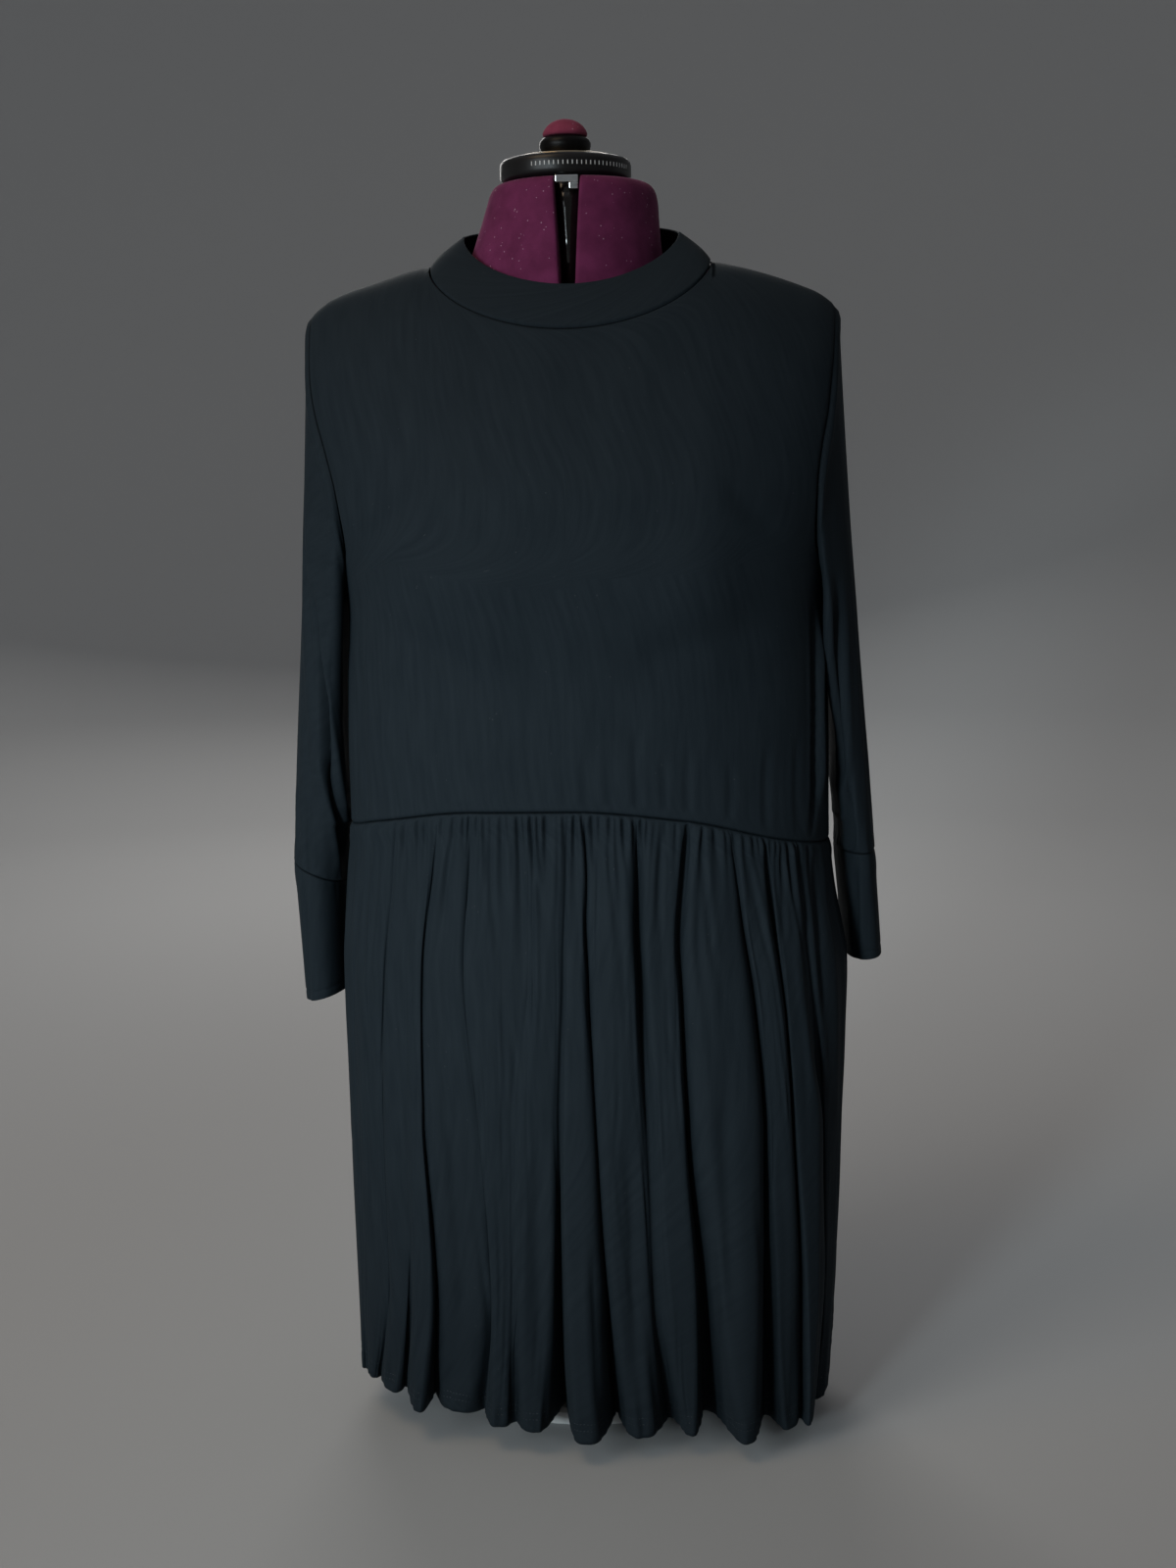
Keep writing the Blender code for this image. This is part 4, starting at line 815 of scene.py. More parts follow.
def make_bodice(name, side):
    points, place = bodice_surface(side)
    x = points[..., 0]
    z = points[..., 2]
    from_waist = distance_along(points, 0)
    from_top = distance_along(points, 0, True)
    from_edge = distance_from_edge(points)
    on_neck = smooth_step(NECK_SHARE + 0.01, NECK_SHARE - 0.01, np.abs(place))
    above_underarm = z - UNDERARM_HEIGHT
    on_armhole = smooth_step(-0.5 * UNDERARM_BLEND, 0.5 * UNDERARM_BLEND, above_underarm)
    field = crease_field(x, z, BODICE_FRONT_CREASES if side == FRONT else BODICE_BACK_CREASES)
    field += swell_field(x, z, BODICE_SWELLS[side]) + soft_waves(x, z, 0.0014, 3 + side)
    field += gather_field(distance_along(points, 1)[:1], from_waist, PUCKERS[side], waist_strength(x))
    field *= smooth_step(0.0, END_FADE, from_waist) * smooth_step(0.0, END_FADE, from_top)
    field = field * smooth_step(0.0, EDGE_FADE, from_edge) + seam_pull(from_waist, WAIST_PULL)
    field += mix(seam_pull(from_top, SHOULDER_PULL), seam_pull(from_top, COLLAR_PULL), on_neck)
    field += mix(seam_pull(from_edge, SIDE_PULL), seam_pull(from_edge, ARMHOLE_PULL), on_armhole)
    from_seam = np.minimum(np.minimum(from_waist, from_top), from_edge)
    points = moved_out(points, grid_normals(points, False, -side), field, side)
    return cloth_object(name, points, False, side == BACK, from_seam, CLOTH)


def make_skirt(name, side):
    points = skirt_surface(side)
    normals = grid_normals(points, False, side)
    from_waist = distance_along(points, 0)
    from_hem = distance_along(points, 0, True)
    from_edge = distance_from_edge(points)
    around = distance_along(points, 1)
    creases = SKIRT_FRONT_CREASES if side == FRONT else SKIRT_BACK_CREASES
    field = crease_field(points[..., 0], points[..., 2], creases)
    for gathers in (SKIRT_GATHERS, SKIRT_RIPPLES, FINE_RIPPLES):
        field += gather_field(around[:1], from_waist, gathers[side])
    field += gather_field(around[-1:], from_hem, HEM_RIPPLES[side])
    field += crinkle_field(around[:1], from_waist, SKIRT_CRINKLES[side])
    field += seam_roll(from_waist, SKIRT_ROLL)
    field += soft_waves(points[..., 0], points[..., 2], 0.0012, 13 + side)
    field *= smooth_step(0.0, EDGE_FADE, from_edge) * smooth_step(0.0, SEAM_FADE, from_waist)
    field += seam_pull(from_waist, WAIST_PULL) + seam_pull(from_edge, SIDE_PULL)
    for height in STITCH_HEIGHTS:
        field -= STITCH_GROOVE * bell(from_hem - height, STITCH_GROOVE_WIDTH)
    points = moved_out(points, normals, field, side)
    from_seam = np.minimum(from_waist, from_edge)
    skirt = cloth_object(name, points, False, side == FRONT, from_seam, CLOTH)
    return skirt, points, normals


def facing(normals, axis, way):
    """Share of a crease seen from one side that the cloth takes, by the way it faces."""
    return smooth_step(0.0, FACING_SPAN, way * normals[..., axis])


def make_sleeve(name, hand):
    points = sleeve_surface(hand)
    normals = tube_normals(points)
    x, y, z = np.moveaxis(points, -1, 0)
    front_creases = SLEEVE_RIGHT_CREASES if hand == RIGHT_HAND else SLEEVE_LEFT_CREASES
    from_armhole = distance_along(points, 0)
    from_cuff = distance_along(points, 0, True)
    side_field = crease_field(y, z, SLEEVE_SIDE_CREASES[hand])
    field = crease_field(x, z, front_creases) * facing(normals, 1, -1)
    field += side_field * (facing(normals, 0, hand) + SIDE_CREASE_REACH * facing(normals, 1, 1))
    field += soft_waves(y, z, 0.0016, 29 + hand)
    field += gather_field(distance_along(points, 1)[-1:], from_cuff, CUFF_PUCKERS)
    field += seam_roll(from_armhole, SLEEVE_ROLL)
    field *= smooth_step(0.0, ARMHOLE_FADE, from_armhole) * smooth_step(0.0, CUFF_FADE, from_cuff)
    field += seam_pull(from_armhole, ARMHOLE_PULL) + seam_pull(from_cuff, CUFF_PULL)
    points = beside_body(points + normals * field[..., None], hand)
    return cloth_object(name, points, True, False, np.minimum(from_armhole, from_cuff), CLOTH)


def share_of_way(value, way):
    """Share of the way across each ring of a tube, from its lowest to its highest value or back."""
    value = way * value
    low = value.min(axis=1, keepdims=True)
    return (value - low) / (value.max(axis=1, keepdims=True) - low)


def beside_body(points, hand):
    """A sleeve's points with its inner face drawn in towards the side of the body, most at its front."""
    x, y, z = np.moveaxis(points, -1, 0)
    shift, half_width = skirt_sizes(z, FRONT)[:2]
    side = np.where(z < WAIST_HEIGHT, hand * shift + half_width, hand * edge_x(z, hand))
    air = smooth_value(BESIDE_BODY[hand], "air", z)
    gap = np.maximum(0.0, (hand * x).min(axis=1, keepdims=True) - side - air)
    to_front = 1.0 - BACK_SLACK * smooth_step(*BACK_SPAN, share_of_way(y, 1.0))
    points[..., 0] -= hand * gap * share_of_way(x, -hand) ** INNER_POWER * to_front
    return points


def tube_normals(points):
    """Normals of a tube, which face away from its middle line."""
    normals = grid_normals(points, True, 1)
    facing_out = np.sum((points - points.mean(axis=1, keepdims=True)) * normals, axis=-1).mean()
    return normals if facing_out > 0.0 else -normals


def make_cuff(name, hand):
    points = cuff_surface(hand)
    normals = tube_normals(points)
    x, y, z = np.moveaxis(points, -1, 0)
    from_top = distance_along(points, 0)
    field = crease_field(x, z, CUFF_CREASES[hand]) * facing(normals, 1, -1)
    field += gather_field(distance_along(points, 1)[:1], from_top, CUFF_PUCKERS, 0.5)
    field += seam_roll(from_top, CUFF_ROLL) + soft_waves(y, z, 0.0008, 37 + hand)
    field = field * smooth_step(0.0, CUFF_FADE, from_top) + seam_pull(from_top, CUFF_PULL)
    from_stitches = distance_along(points, 0, True) - CUFF_STITCH_HEIGHT
    field -= STITCH_GROOVE * bell(from_stitches, STITCH_GROOVE_WIDTH)
    points = beside_body(points + normals * field[..., None], hand)
    return cloth_object(name, points, True, False, from_top, BAND_CLOTH)


def make_collar(name):
    """Outer layer up from the seam, a rounded fold at the top and the start of the layer turned in."""
    angle = -2.0 * np.pi * np.arange(COLLAR_COLUMNS) / COLLAR_COLUMNS
    rise, turn = np.meshgrid(np.linspace(0.0, 1.0, COLLAR_ROWS) ** COLLAR_ROW_POWER, angle, indexing="ij")
    points = collar_surface(turn, rise)
    normals = tube_normals(points)
    from_seam = distance_along(points, 0)
    field = gather_field(distance_along(points, 1)[:1], from_seam, COLLAR_PUCKERS)
    field += soft_waves(points[..., 0], points[..., 1], 0.0008, 47)
    field = field * smooth_step(0.0, SEAM_FADE, from_seam) + seam_pull(from_seam, COLLAR_PULL)
    points = points + normals * field[..., None]
    up = points[-1] - points[-2]
    up /= np.linalg.norm(up, axis=-1, keepdims=True)
    half = 0.5 * BAND_CLOTH
    rows = list(points)
    for step in range(1, COLLAR_FOLD_STEPS + 1):
        bend = math.pi * step / COLLAR_FOLD_STEPS
        rows.append(points[-1] - normals[-1] * half * (1.0 - math.cos(bend)) + up * half * math.sin(bend))
    rows += [points[row] - normals[row] * BAND_CLOTH for row in range(COLLAR_ROWS - 2, 3, -2)]
    grid = np.stack(rows)
    return cloth_object(name, grid, True, False, distance_along(grid, 0), 0.0)


# ---------------------------------------------------------------- stitches
STITCH_HEIGHTS = (0.0115, 0.0175)     # two rows above the hem
CUFF_STITCH_HEIGHT = 0.008
STITCH_SINK = 0.0001      # how far a stitch's foot is sunk in the cloth
STITCH_GROOVE = 0.0004
STITCH_GROOVE_WIDTH = 0.0016
STITCH_PITCH = 0.0030
STITCH_LENGTH = 0.0023
STITCH_HALF_WIDTH = 0.00035
STITCH_LIFT = 0.00025


def stitch_row(points, normals, height):
    """Starts, ends and normals of stitches at one distance above the hem."""
    from_hem = distance_along(points, 0, True)
    line, out = np.empty((2, points.shape[1], 3))
    for column in range(points.shape[1]):
        lengths = from_hem[::-1, column]
        for axis in range(3):
            line[column, axis] = np.interp(height, lengths, points[::-1, column, axis])
            out[column, axis] = np.interp(height, lengths, normals[::-1, column, axis])
    run = np.concatenate([[0.0], np.cumsum(np.linalg.norm(np.diff(line, axis=0), axis=-1))])
    starts = np.arange(STITCH_PITCH, run[-1] - STITCH_PITCH, STITCH_PITCH)

    def at(places, values):
        return np.stack([np.interp(places, run, values[:, axis]) for axis in range(3)], axis=-1)

    normal = at(starts + 0.5 * STITCH_LENGTH, out)
    normal /= np.linalg.norm(normal, axis=-1, keepdims=True)
    return at(starts, line), at(starts + STITCH_LENGTH, line), normal


def make_stitches(name, points, normals):
    """Flat-bottomed stitches, each a small ridge on the cloth."""
    vertices = []
    faces = []
    for height in STITCH_HEIGHTS:
        for start, end, out in zip(*stitch_row(points, normals, height)):
            along = end - start
            sideways = np.cross(along / max(1e-9, np.linalg.norm(along)), out) * STITCH_HALF_WIDTH
            middle = 0.5 * (start + end)
            base = len(vertices)
            corners = (start, end, middle + sideways, middle - sideways)
            vertices += [corner - STITCH_SINK * out for corner in corners]
            vertices.append(middle + out * STITCH_LIFT)
            for face in ((0, 2, 4), (2, 1, 4), (1, 3, 4), (3, 0, 4)):
                faces.append([base + corner for corner in face])
    shown = new_object(name, vertices, faces, thread, smooth=False)
    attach(shown, "root")
    return shown


# ---------------------------------------------------------------- dress form
def ring_faces(levels, count):
    """Quads between each ring of points and the one after it."""
    faces = []
    for low in range(0, (levels - 1) * count, count):
        for step in range(count):
            following = (step + 1) % count
            faces.append((low + step, low + following, low + count + following, low + count + step))
    return faces


def shown_part(name, vertices, faces, material, node, smooth=True):
    shown = new_object(name, vertices, faces, material, smooth)
    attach(shown, "root")
    if node:
        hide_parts(node)
    return shown


def circle(radius, height, steps, shift=0.0):
    angles = [2.0 * math.pi * step / steps for step in range(steps)]
    return [(shift + radius * math.cos(angle), radius * math.sin(angle), height) for angle in angles]


def turned_part(name, profile, material, node):
    """Solid of revolution about the dial's axis from a profile that runs down its outer side."""
    vertices = []
    for radius, height in profile[1:-1]:
        vertices += circle(radius, height, TURN_STEPS, DIAL_SHIFT)
    faces = [face[::-1] for face in ring_faces(len(profile) - 2, TURN_STEPS)]
    bottom = len(vertices)
    for step in range(TURN_STEPS):
        following = (step + 1) % TURN_STEPS
        faces.append((step, following, bottom + 1))
        faces.append((bottom - TURN_STEPS + following, bottom - TURN_STEPS + step, bottom))
    vertices += [(DIAL_SHIFT, 0.0, profile[-1][1]), (DIAL_SHIFT, 0.0, profile[0][1])]
    return shown_part(name, vertices, faces, material, node)


def rounded_corner(start, corner, end):
    """Points of a soft curve that cuts a corner."""
    points = []
    for t in (0.2, 0.4, 0.6, 0.8):
        parts = zip(start, corner, end)
        points.append([(1.0 - t) ** 2 * a + 2.0 * t * (1.0 - t) * b + t * t * c for a, b, c in parts])
    return points


def neck_outline(half_width, depth, slot, dip, height, hand):
    """One level of a neck half: the outer arc from front to back, rounded into the flat slot face."""
    start = math.asin(slot / half_width)
    first = start + NECK_CORNER / depth
    outline = []
    for step in range(NECK_ARC_STEPS + 1):
        angle = mix(first, math.pi - first, step / NECK_ARC_STEPS)
        outline.append((half_width * math.sin(angle), -depth * math.cos(angle)))
    edge = depth * math.cos(start)
    face = edge - NECK_CORNER
    outline += rounded_corner(outline[-1], (slot, edge), (slot, face))
    outline += [(slot, mix(face, -face, step / 6.0)) for step in range(7)]
    outline += rounded_corner((slot, -face), (slot, -edge), outline[0])
    return [(hand * x, y, height - dip * min(1.0, abs(y) / depth) ** NECK_DROP_POWER) for x, y in outline]


def make_neck_half(name, hand, material, node):
    half = "right_half" if hand == RIGHT_HAND else "left_half"
    sections = np.array([[getattr(row, size) for size in (half, "depth", "slot", "dip", "height")]
                         for row in NECK_SECTIONS])
    keys = range(len(sections))
    vertices = []
    for level in np.linspace(0.0, len(sections) - 1, NECK_LEVELS):
        vertices += neck_outline(*(float(smooth_curve(keys, sizes, level)) for sizes in sections.T), hand)
    count = len(vertices) // NECK_LEVELS
    faces = ring_faces(NECK_LEVELS, count)
    top = len(vertices)
    vertices.append((hand * NECK_TOP_MIDDLE, 0.0, NECK_SECTIONS[-1].height))
    vertices.append((hand * NECK_FOOT_MIDDLE, 0.0, NECK_SECTIONS[0].height - NECK_FOOT_DROP))
    for step in range(count):
        following = (step + 1) % count
        faces += [(top - count + step, top - count + following, top), (following, step, top + 1)]
    if hand == RIGHT_HAND:
        faces = [face[::-1] for face in faces]
    return shown_part(name, vertices, faces, material, node)


def make_column(name, material, node):
    """Glossy slab in the slot with a half-round front and back."""
    count = 2 * (COLUMN_STEPS + 1)
    vertices = []
    for height, half_width in COLUMN_LEVELS:
        for way in (-1.0, 1.0):
            for step in range(COLUMN_STEPS + 1):
                angle = math.pi * step / COLUMN_STEPS
                y = way * (COLUMN_HALF_DEPTH - COLUMN_ROUND + COLUMN_ROUND * math.sin(angle))
                vertices.append((-way * half_width * math.cos(angle), y, height))
    faces = ring_faces(len(COLUMN_LEVELS), count)
    faces.append(tuple(range(count))[::-1])
    faces.append(tuple(range(len(vertices) - count, len(vertices))))
    return shown_part(name, vertices, faces, material, node)


def make_box(low, high):
    """Corners and faces of an upright box."""
    corners = [(x, y, z) for z in (low[2], high[2]) for y in (low[1], high[1]) for x in (low[0], high[0])]
    faces = [(0, 2, 3, 1), (4, 5, 7, 6), (0, 1, 5, 4), (2, 6, 7, 3), (0, 4, 6, 2), (1, 3, 7, 5)]
    return corners, faces


def make_latch(name, material, node):
    """Bright tab at the top of the slot, longer on the wearer's left."""
    vertices = []
    faces = []
    for low, high in LATCH_BOXES:
        corners, box_faces = make_box(low, high)
        base = len(vertices)
        vertices += corners
        faces += [tuple(base + corner for corner in face) for face in box_faces]
    latch = shown_part(name, vertices, faces, material, node, smooth=False)
    edge = latch.modifiers.new("edge", "BEVEL")
    edge.width = 0.0006
    edge.segments = 2
    return latch


def make_ticks(name, material):
    """Plain raised ticks round the front of the dial's rim."""
    vertices = []
    faces = []
    angle = TICKS.first
    while angle <= TICKS.last:
        turn = math.radians(angle)
        out = Vector((math.sin(turn), -math.cos(turn), 0.0))
        across = Vector((math.cos(turn), math.sin(turn), 0.0)) * TICKS.half_width
        up = Vector((0.0, 0.0, TICKS.half_height))
        base = len(vertices)
        for reach in TICK_REACHES:
            centre = Vector((DIAL_SHIFT, 0.0, TICKS.height)) + out * reach
            vertices += [centre - across - up, centre + across - up]
            vertices += [centre + across + up, centre - across + up]
        for face in ((0, 1, 2, 3), (4, 5, 6, 7), (0, 1, 5, 4), (1, 2, 6, 5), (2, 3, 7, 6), (3, 0, 4, 7)):
            faces.append(tuple(base + corner for corner in face))
        angle += TICKS.step
    return shown_part(name, vertices, faces, material, None, smooth=False)


# ---------------------------------------------------------------- materials
SEAM_SHADE_REACH = (0.0003, 0.0014)    # from and to distance from a seam over which the painted seam shade fades out
# Share of its colour that the cloth keeps right at a seam, where the painted seam shade is darkest.
SEAM_SHADE = 0.25


def set_inputs(material, node, inputs):
    """Give a node's inputs their values, or links from other nodes' outputs."""
    for name, value in inputs.items():
        if isinstance(value, bpy.types.NodeSocket):
            material.node_tree.links.new(value, node.inputs[name])
        else:
            node.inputs[name].default_value = value


def add_node(material, kind, inputs, **settings):
    node = material.node_tree.nodes.new("ShaderNode" + kind)
    for name, value in settings.items():
        setattr(node, name, value)
    set_inputs(material, node, inputs)
    return node


def new_material(name, colour, roughness, metallic, specular):
    material = bpy.data.materials.new(name)
    material.use_nodes = True
    shader = material.node_tree.nodes["Principled BSDF"]
    inputs = {"Roughness": roughness, "Metallic": metallic, "Specular IOR Level": specular}
    set_inputs(material, shader, {"Base Color": (*colour, 1.0), **inputs})
    return material, shader


def sheen_inputs(weight, roughness, tint):
    return {"Sheen Weight": weight, "Sheen Roughness": roughness, "Sheen Tint": (*tint, 1.0)}


def add_noise(material, place, scale, detail):
    noise = add_node(material, "TexNoise", {"Vector": place, "Scale": scale, "Detail": detail})
    return noise.outputs["Fac"]


def add_colour_ramp(material, factor, low, high, low_colour, high_colour):
    ramp = add_node(material, "ValToRGB", {"Fac": factor})
    for element, place, colour in zip(ramp.color_ramp.elements, (low, high), (low_colour, high_colour)):
        element.position = place
        element.color = (*colour, 1.0)
    return ramp.outputs["Color"]


def add_bump(material, shader, height, strength, distance):
    bump = add_node(material, "Bump", {"Strength": strength, "Distance": distance, "Height": height})
    set_inputs(material, shader, {"Normal": bump.outputs["Normal"]})


def stretched(material, place, scale):
    return add_node(material, "Mapping", {"Vector": place, "Scale": scale}).outputs["Vector"]


def object_place(material):
    return add_node(material, "TexCoord", {}).outputs["Object"]


def speckled(material, place, colour, scale, size, cloud_scale, rarity, speck_colour):
    """Colour with small specks of lint where a broad noise allows them."""
    cells = add_node(material, "TexVoronoi", {"Scale": scale, "Vector": place})
    speck = add_node(material, "Math", {0: cells.outputs["Distance"], 1: size}, operation="LESS_THAN")
    cloud = add_noise(material, place, cloud_scale, 0.0)
    chosen = add_node(material, "Math", {0: cloud, 1: rarity}, operation="GREATER_THAN")
    both = add_node(material, "Math", {0: speck.outputs[0], 1: chosen.outputs[0]}, operation="MULTIPLY")
    inputs = {"Factor": both.outputs[0], "A": colour, "B": (*speck_colour, 1.0)}
    return add_node(material, "Mix", inputs, data_type="RGBA").outputs["Result"]


def painted_seam_shade(material, colour):
    """Painted shade along the seams: the cloth's colour darkened towards a seam, seen as a thin dark line.
    """
    seam = add_node(material, "Attribute", {}, attribute_name="seam_distance")
    inputs = {"From Min": SEAM_SHADE_REACH[0], "From Max": SEAM_SHADE_REACH[1], "To Min": SEAM_SHADE}
    reach = add_node(material, "MapRange", {"Value": seam.outputs["Fac"], **inputs})
    inputs = {"Factor": 1.0, "A": colour, "B": reach.outputs["Result"]}
    return add_node(material, "Mix", inputs, data_type="RGBA", blend_type="MULTIPLY").outputs["Result"]


def jersey_material():
    """Fine black viscose jersey: matt with a soft cool sheen, faint upright ribs, specks of lint and
    painted shade along its seams.
    """
    material, shader = new_material("black_jersey", (0.0112, 0.0156, 0.0195), 0.74, 0.0, 0.035)
    set_inputs(material, shader, sheen_inputs(0.012, 0.55, (0.55, 0.82, 1.0)))
    place = add_node(material, "Attribute", {}, attribute_name="cloth_place").outputs["Vector"]
    upright = stretched(material, place, (1.0, 0.10, 1.0))
    cloud = add_noise(material, upright, 190.0, 4.0)
    low_colour = (0.0096, 0.0136, 0.0172)
    high_colour = (0.0132, 0.0180, 0.0222)
    colour = add_colour_ramp(material, cloud, 0.28, 0.74, low_colour, high_colour)
    lint = speckled(material, place, colour, 95.0, 0.050, 31.0, 0.58, (0.030, 0.034, 0.038))
    # Base colour with painted shade along the seams.
    set_inputs(material, shader, {"Base Color": painted_seam_shade(material, lint)})
    add_bump(material, shader, add_noise(material, upright, 1100.0, 2.0), 0.40, 0.0003)
    return material


def velvet_material(name, low_colour, high_colour):
    """Wine-red knit cover of the form, with a soft nap, fine level ribs and lint."""
    material, shader = new_material(name, high_colour, 0.90, 0.0, 0.2)
    set_inputs(material, shader, sheen_inputs(0.12, 0.35, (0.95, 0.45, 0.65)))
    place = object_place(material)
    cloud = add_noise(material, place, 60.0, 4.0)
    colour = add_colour_ramp(material, cloud, 0.30, 0.75, low_colour, high_colour)
    lint = speckled(material, place, colour, 260.0, 0.13, 90.0, 0.54, (0.34, 0.20, 0.27))
    set_inputs(material, shader, {"Base Color": lint})
    ribs = add_noise(material, stretched(material, place, (0.25, 0.25, 1.0)), 1300.0, 2.0)
    add_bump(material, shader, ribs, 0.5, 0.0004)
    return material


def plain_material(name, colour, roughness, metallic, grain_scale, grain_depth, specular=0.5):
    material, shader = new_material(name, colour, roughness, metallic, specular)
    grain = add_noise(material, object_place(material), grain_scale, 3.0)
    low = tuple(0.92 * channel for channel in colour)
    high = tuple(min(1.0, 1.08 * channel) for channel in colour)
    set_inputs(material, shader, {"Base Color": add_colour_ramp(material, grain, 0.35, 0.65, low, high)})
    add_bump(material, shader, grain, 0.2, grain_depth)
    return material


def paint_node(name, material):
    node = bpy.data.objects[name]
    if not node.material_slots:
        node.data.materials.append(material)
    for slot in node.material_slots:
        slot.material = material


# ---------------------------------------------------------------- the shown dress
jersey = jersey_material()
velvet = velvet_material("wine_knit", (0.080, 0.0090, 0.040), (0.126, 0.0175, 0.066))
cushion = velvet_material("wine_cushion", (0.150, 0.0210, 0.046), (0.215, 0.0370, 0.072))
gloss = plain_material("gloss_black", (0.0060, 0.0045, 0.0040), 0.10, 0.0, 40.0, 0.00003)
paint = plain_material("tick_paint", (0.55, 0.55, 0.54), 0.50, 0.0, 400.0, 0.00002)
black = plain_material("black_plastic", (0.0075, 0.0070, 0.0072), 0.34, 0.0, 40.0, 0.00005, 0.26)
cup_black = plain_material("cup_plastic", (0.0028, 0.0024, 0.0024), 0.36, 0.0, 40.0, 0.00005, 0.12)
metal = plain_material("bright_metal", (0.78, 0.80, 0.81), 0.16, 1.0, 300.0, 0.00002)
brass = plain_material("brass", (0.42, 0.36, 0.24), 0.30, 1.0, 220.0, 0.00005)
enamel = plain_material("stand_enamel", (0.55, 0.55, 0.54), 0.40, 0.0, 60.0, 0.00005)
thread = plain_material("thread", (0.020, 0.026, 0.031), 0.55, 0.0, 500.0, 0.00002)

bodice_front = make_bodice("shown_bodice_front", FRONT)
bodice_back = make_bodice("shown_bodice_back", BACK)
skirt_front, skirt_front_points, skirt_front_normals = make_skirt("shown_skirt_front", FRONT)
skirt_back, skirt_back_points, skirt_back_normals = make_skirt("shown_skirt_back", BACK)
sleeve_right = make_sleeve("shown_sleeve_right", RIGHT_HAND)
sleeve_left = make_sleeve("shown_sleeve_left", LEFT_HAND)
cuff_right = make_cuff("shown_cuff_right", RIGHT_HAND)
cuff_left = make_cuff("shown_cuff_left", LEFT_HAND)
collar = make_collar("shown_collar")
stitches_front = make_stitches("stitches_front", skirt_front_points, skirt_front_normals)
stitches_back = make_stitches("stitches_back", skirt_back_points, skirt_back_normals)

CLOTH_PIECES = (
    (bodice_front, "bodice_front"), (bodice_back, "bodice_back"), (skirt_front, "skirt_front"),
    (skirt_back, "skirt_back"), (sleeve_right, "sleeve_right"), (sleeve_left, "sleeve_left"),
    (cuff_right, "cuff_right"), (cuff_left, "cuff_left"), (collar, "collar_band"),
)
for shown, node in CLOTH_PIECES:
    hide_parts(node)

make_neck_half("shown_neck_right", RIGHT_HAND, velvet, "neck_right")
make_neck_half("shown_neck_left", LEFT_HAND, velvet, "neck_left")
make_column("shown_column", gloss, "neck_column")
make_latch("shown_latch", metal, "neck_latch")
turned_part("shown_dial", DIAL_PROFILE, black, "neck_dial")
turned_part("shown_plate", PLATE_PROFILE, brass, "dial_plate")
turned_part("shown_cup", CUP_PROFILE, cup_black, "cushion_cup")
turned_part("shown_cushion", CUSHION_PROFILE, cushion, "pincushion")
make_ticks("dial_ticks", paint)
paint_node("form_torso", velvet)
for node_name in ("stand_pole", "stand_base"):
    paint_node(node_name, enamel)

# ---------------------------------------------------------------- studio
FLOOR_PROFILE = ((0.0, 0.0), (2.6, 0.0), (3.1, 0.05), (3.6, 0.25), (4.0, 0.65), (4.25, 1.25), (4.35, 2.2),
                 (4.35, 4.0))
FLOOR_STEPS = 96
CAMERA_DISTANCE = 1.80
CAMERA_HEIGHT = 0.80
CAMERA_AZIMUTH = 3.0
CAMERA_ROLL = 0.9
CAMERA_TARGET = (0.0066, 0.0, 0.55)
CAMERA_LENS = 48.6        # this and the sensor in millimetres
CAMERA_SENSOR = 36.0
FLOOR_DROP = 0.0005       # keeps the floor just under the stand


def make_floor():
    material = new_material("pale_floor", (0.40, 0.40, 0.40), 0.95, 0.0, 0.1)[0]
    vertices = []
    for radius, height in FLOOR_PROFILE:
        vertices += circle(radius, height - FLOOR_DROP, FLOOR_STEPS)
    floor = new_object("floor", vertices, ring_faces(len(FLOOR_PROFILE), FLOOR_STEPS), material)


def add_light(name, kind, place, target, power, colour, **settings):
    lamp = bpy.data.lights.new(name, kind)
    lamp.energy = power
    lamp.color = colour
    for setting, value in settings.items():
        setattr(lamp, setting, value)
    holder = bpy.data.objects.new(name, lamp)
    holder.location = place
    holder.rotation_euler = (Vector(target) - Vector(place)).to_track_quat("-Z", "Y").to_euler()
    bpy.context.scene.collection.objects.link(holder)


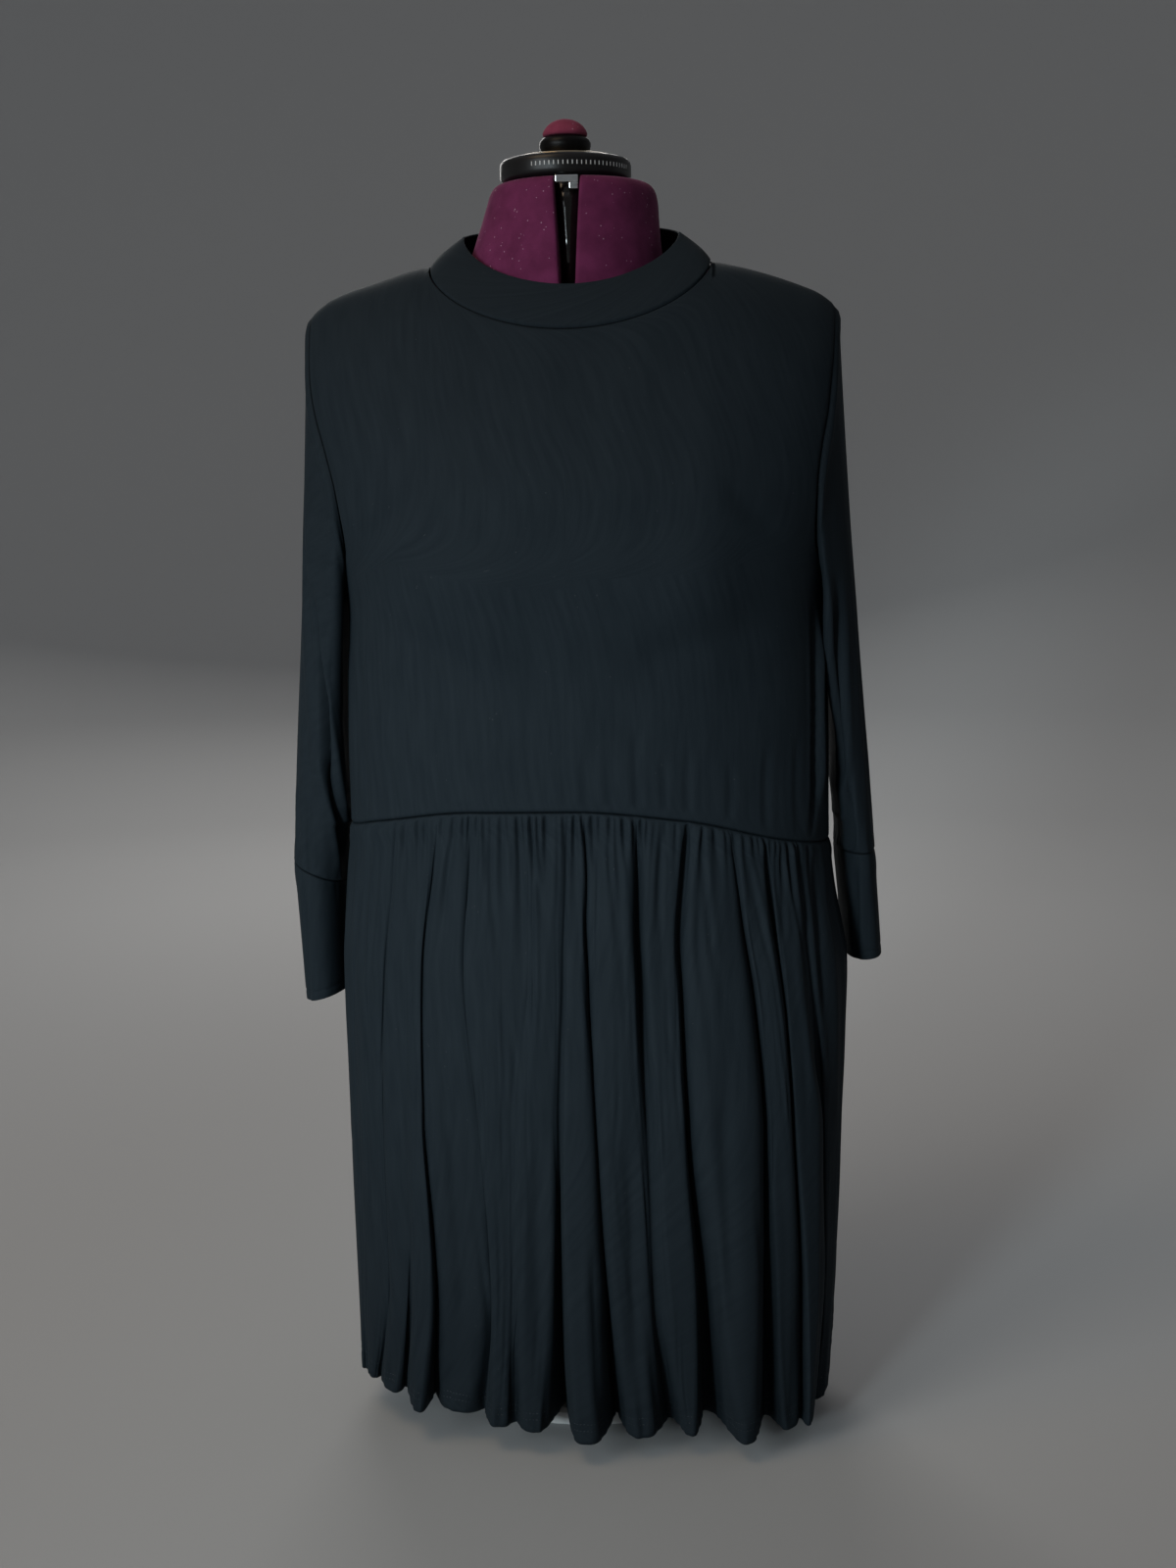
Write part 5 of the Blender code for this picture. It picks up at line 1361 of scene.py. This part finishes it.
def add_camera():
    """Level-headed view from a little to the wearer's left, tipped by less than a degree."""
    azimuth = math.radians(CAMERA_AZIMUTH)
    roll = math.radians(CAMERA_ROLL)
    place = Vector((math.sin(azimuth), -math.cos(azimuth), 0.0)) * CAMERA_DISTANCE
    place.z = CAMERA_HEIGHT
    forward = (Vector(CAMERA_TARGET) - place).normalized()
    right = forward.cross(Vector((0.0, 0.0, 1.0))).normalized()
    up = right.cross(forward)
    turned_right = right * math.cos(roll) - up * math.sin(roll)
    turned_up = up * math.cos(roll) + right * math.sin(roll)
    camera = bpy.data.cameras.new("camera")
    camera.lens = CAMERA_LENS
    camera.sensor_width = CAMERA_SENSOR
    camera.clip_start = 0.05
    camera.clip_end = 30.0
    holder = bpy.data.objects.new("camera", camera)
    turn = Matrix((turned_right, turned_up, -forward)).transposed().to_4x4()
    holder.matrix_world = Matrix.Translation(place) @ turn
    bpy.context.scene.collection.objects.link(holder)
    bpy.context.scene.camera = holder


make_floor()
add_light("key", "AREA", (-2.3, -2.6, 1.5), (0.0, 0.0, 0.55), 41.0, (0.86, 0.95, 1.0), size=1.5)
add_light("window", "SPOT", (-1.25, -3.0, 1.0), (-0.01, 0.0, 0.45), 345.0, (0.80, 0.94, 1.0),
          shadow_soft_size=0.30, spot_size=math.radians(23.0), spot_blend=1.0)
add_light("ceiling", "AREA", (-0.9, -0.8, 2.4), (0.0, 0.0, 0.9), 8.0, (1.0, 0.74, 0.48), size=0.9)
add_light("back", "AREA", (-0.5, 3.0, 1.9), (0.0, 0.0, 0.6), 34.0, (1.0, 0.98, 0.95), size=1.6)
add_light("side", "AREA", (3.0, 1.2, 1.4), (0.0, 0.0, 0.55), 0.5, (0.95, 0.97, 1.0), size=1.4)
world = bpy.data.worlds.new("studio")
world.use_nodes = True
world.node_tree.nodes["Background"].inputs["Color"].default_value = (0.90, 0.93, 1.0, 1.0)
world.node_tree.nodes["Background"].inputs["Strength"].default_value = 0.23
bpy.context.scene.world = world
bpy.context.scene.view_settings.view_transform = "Standard"
add_camera()
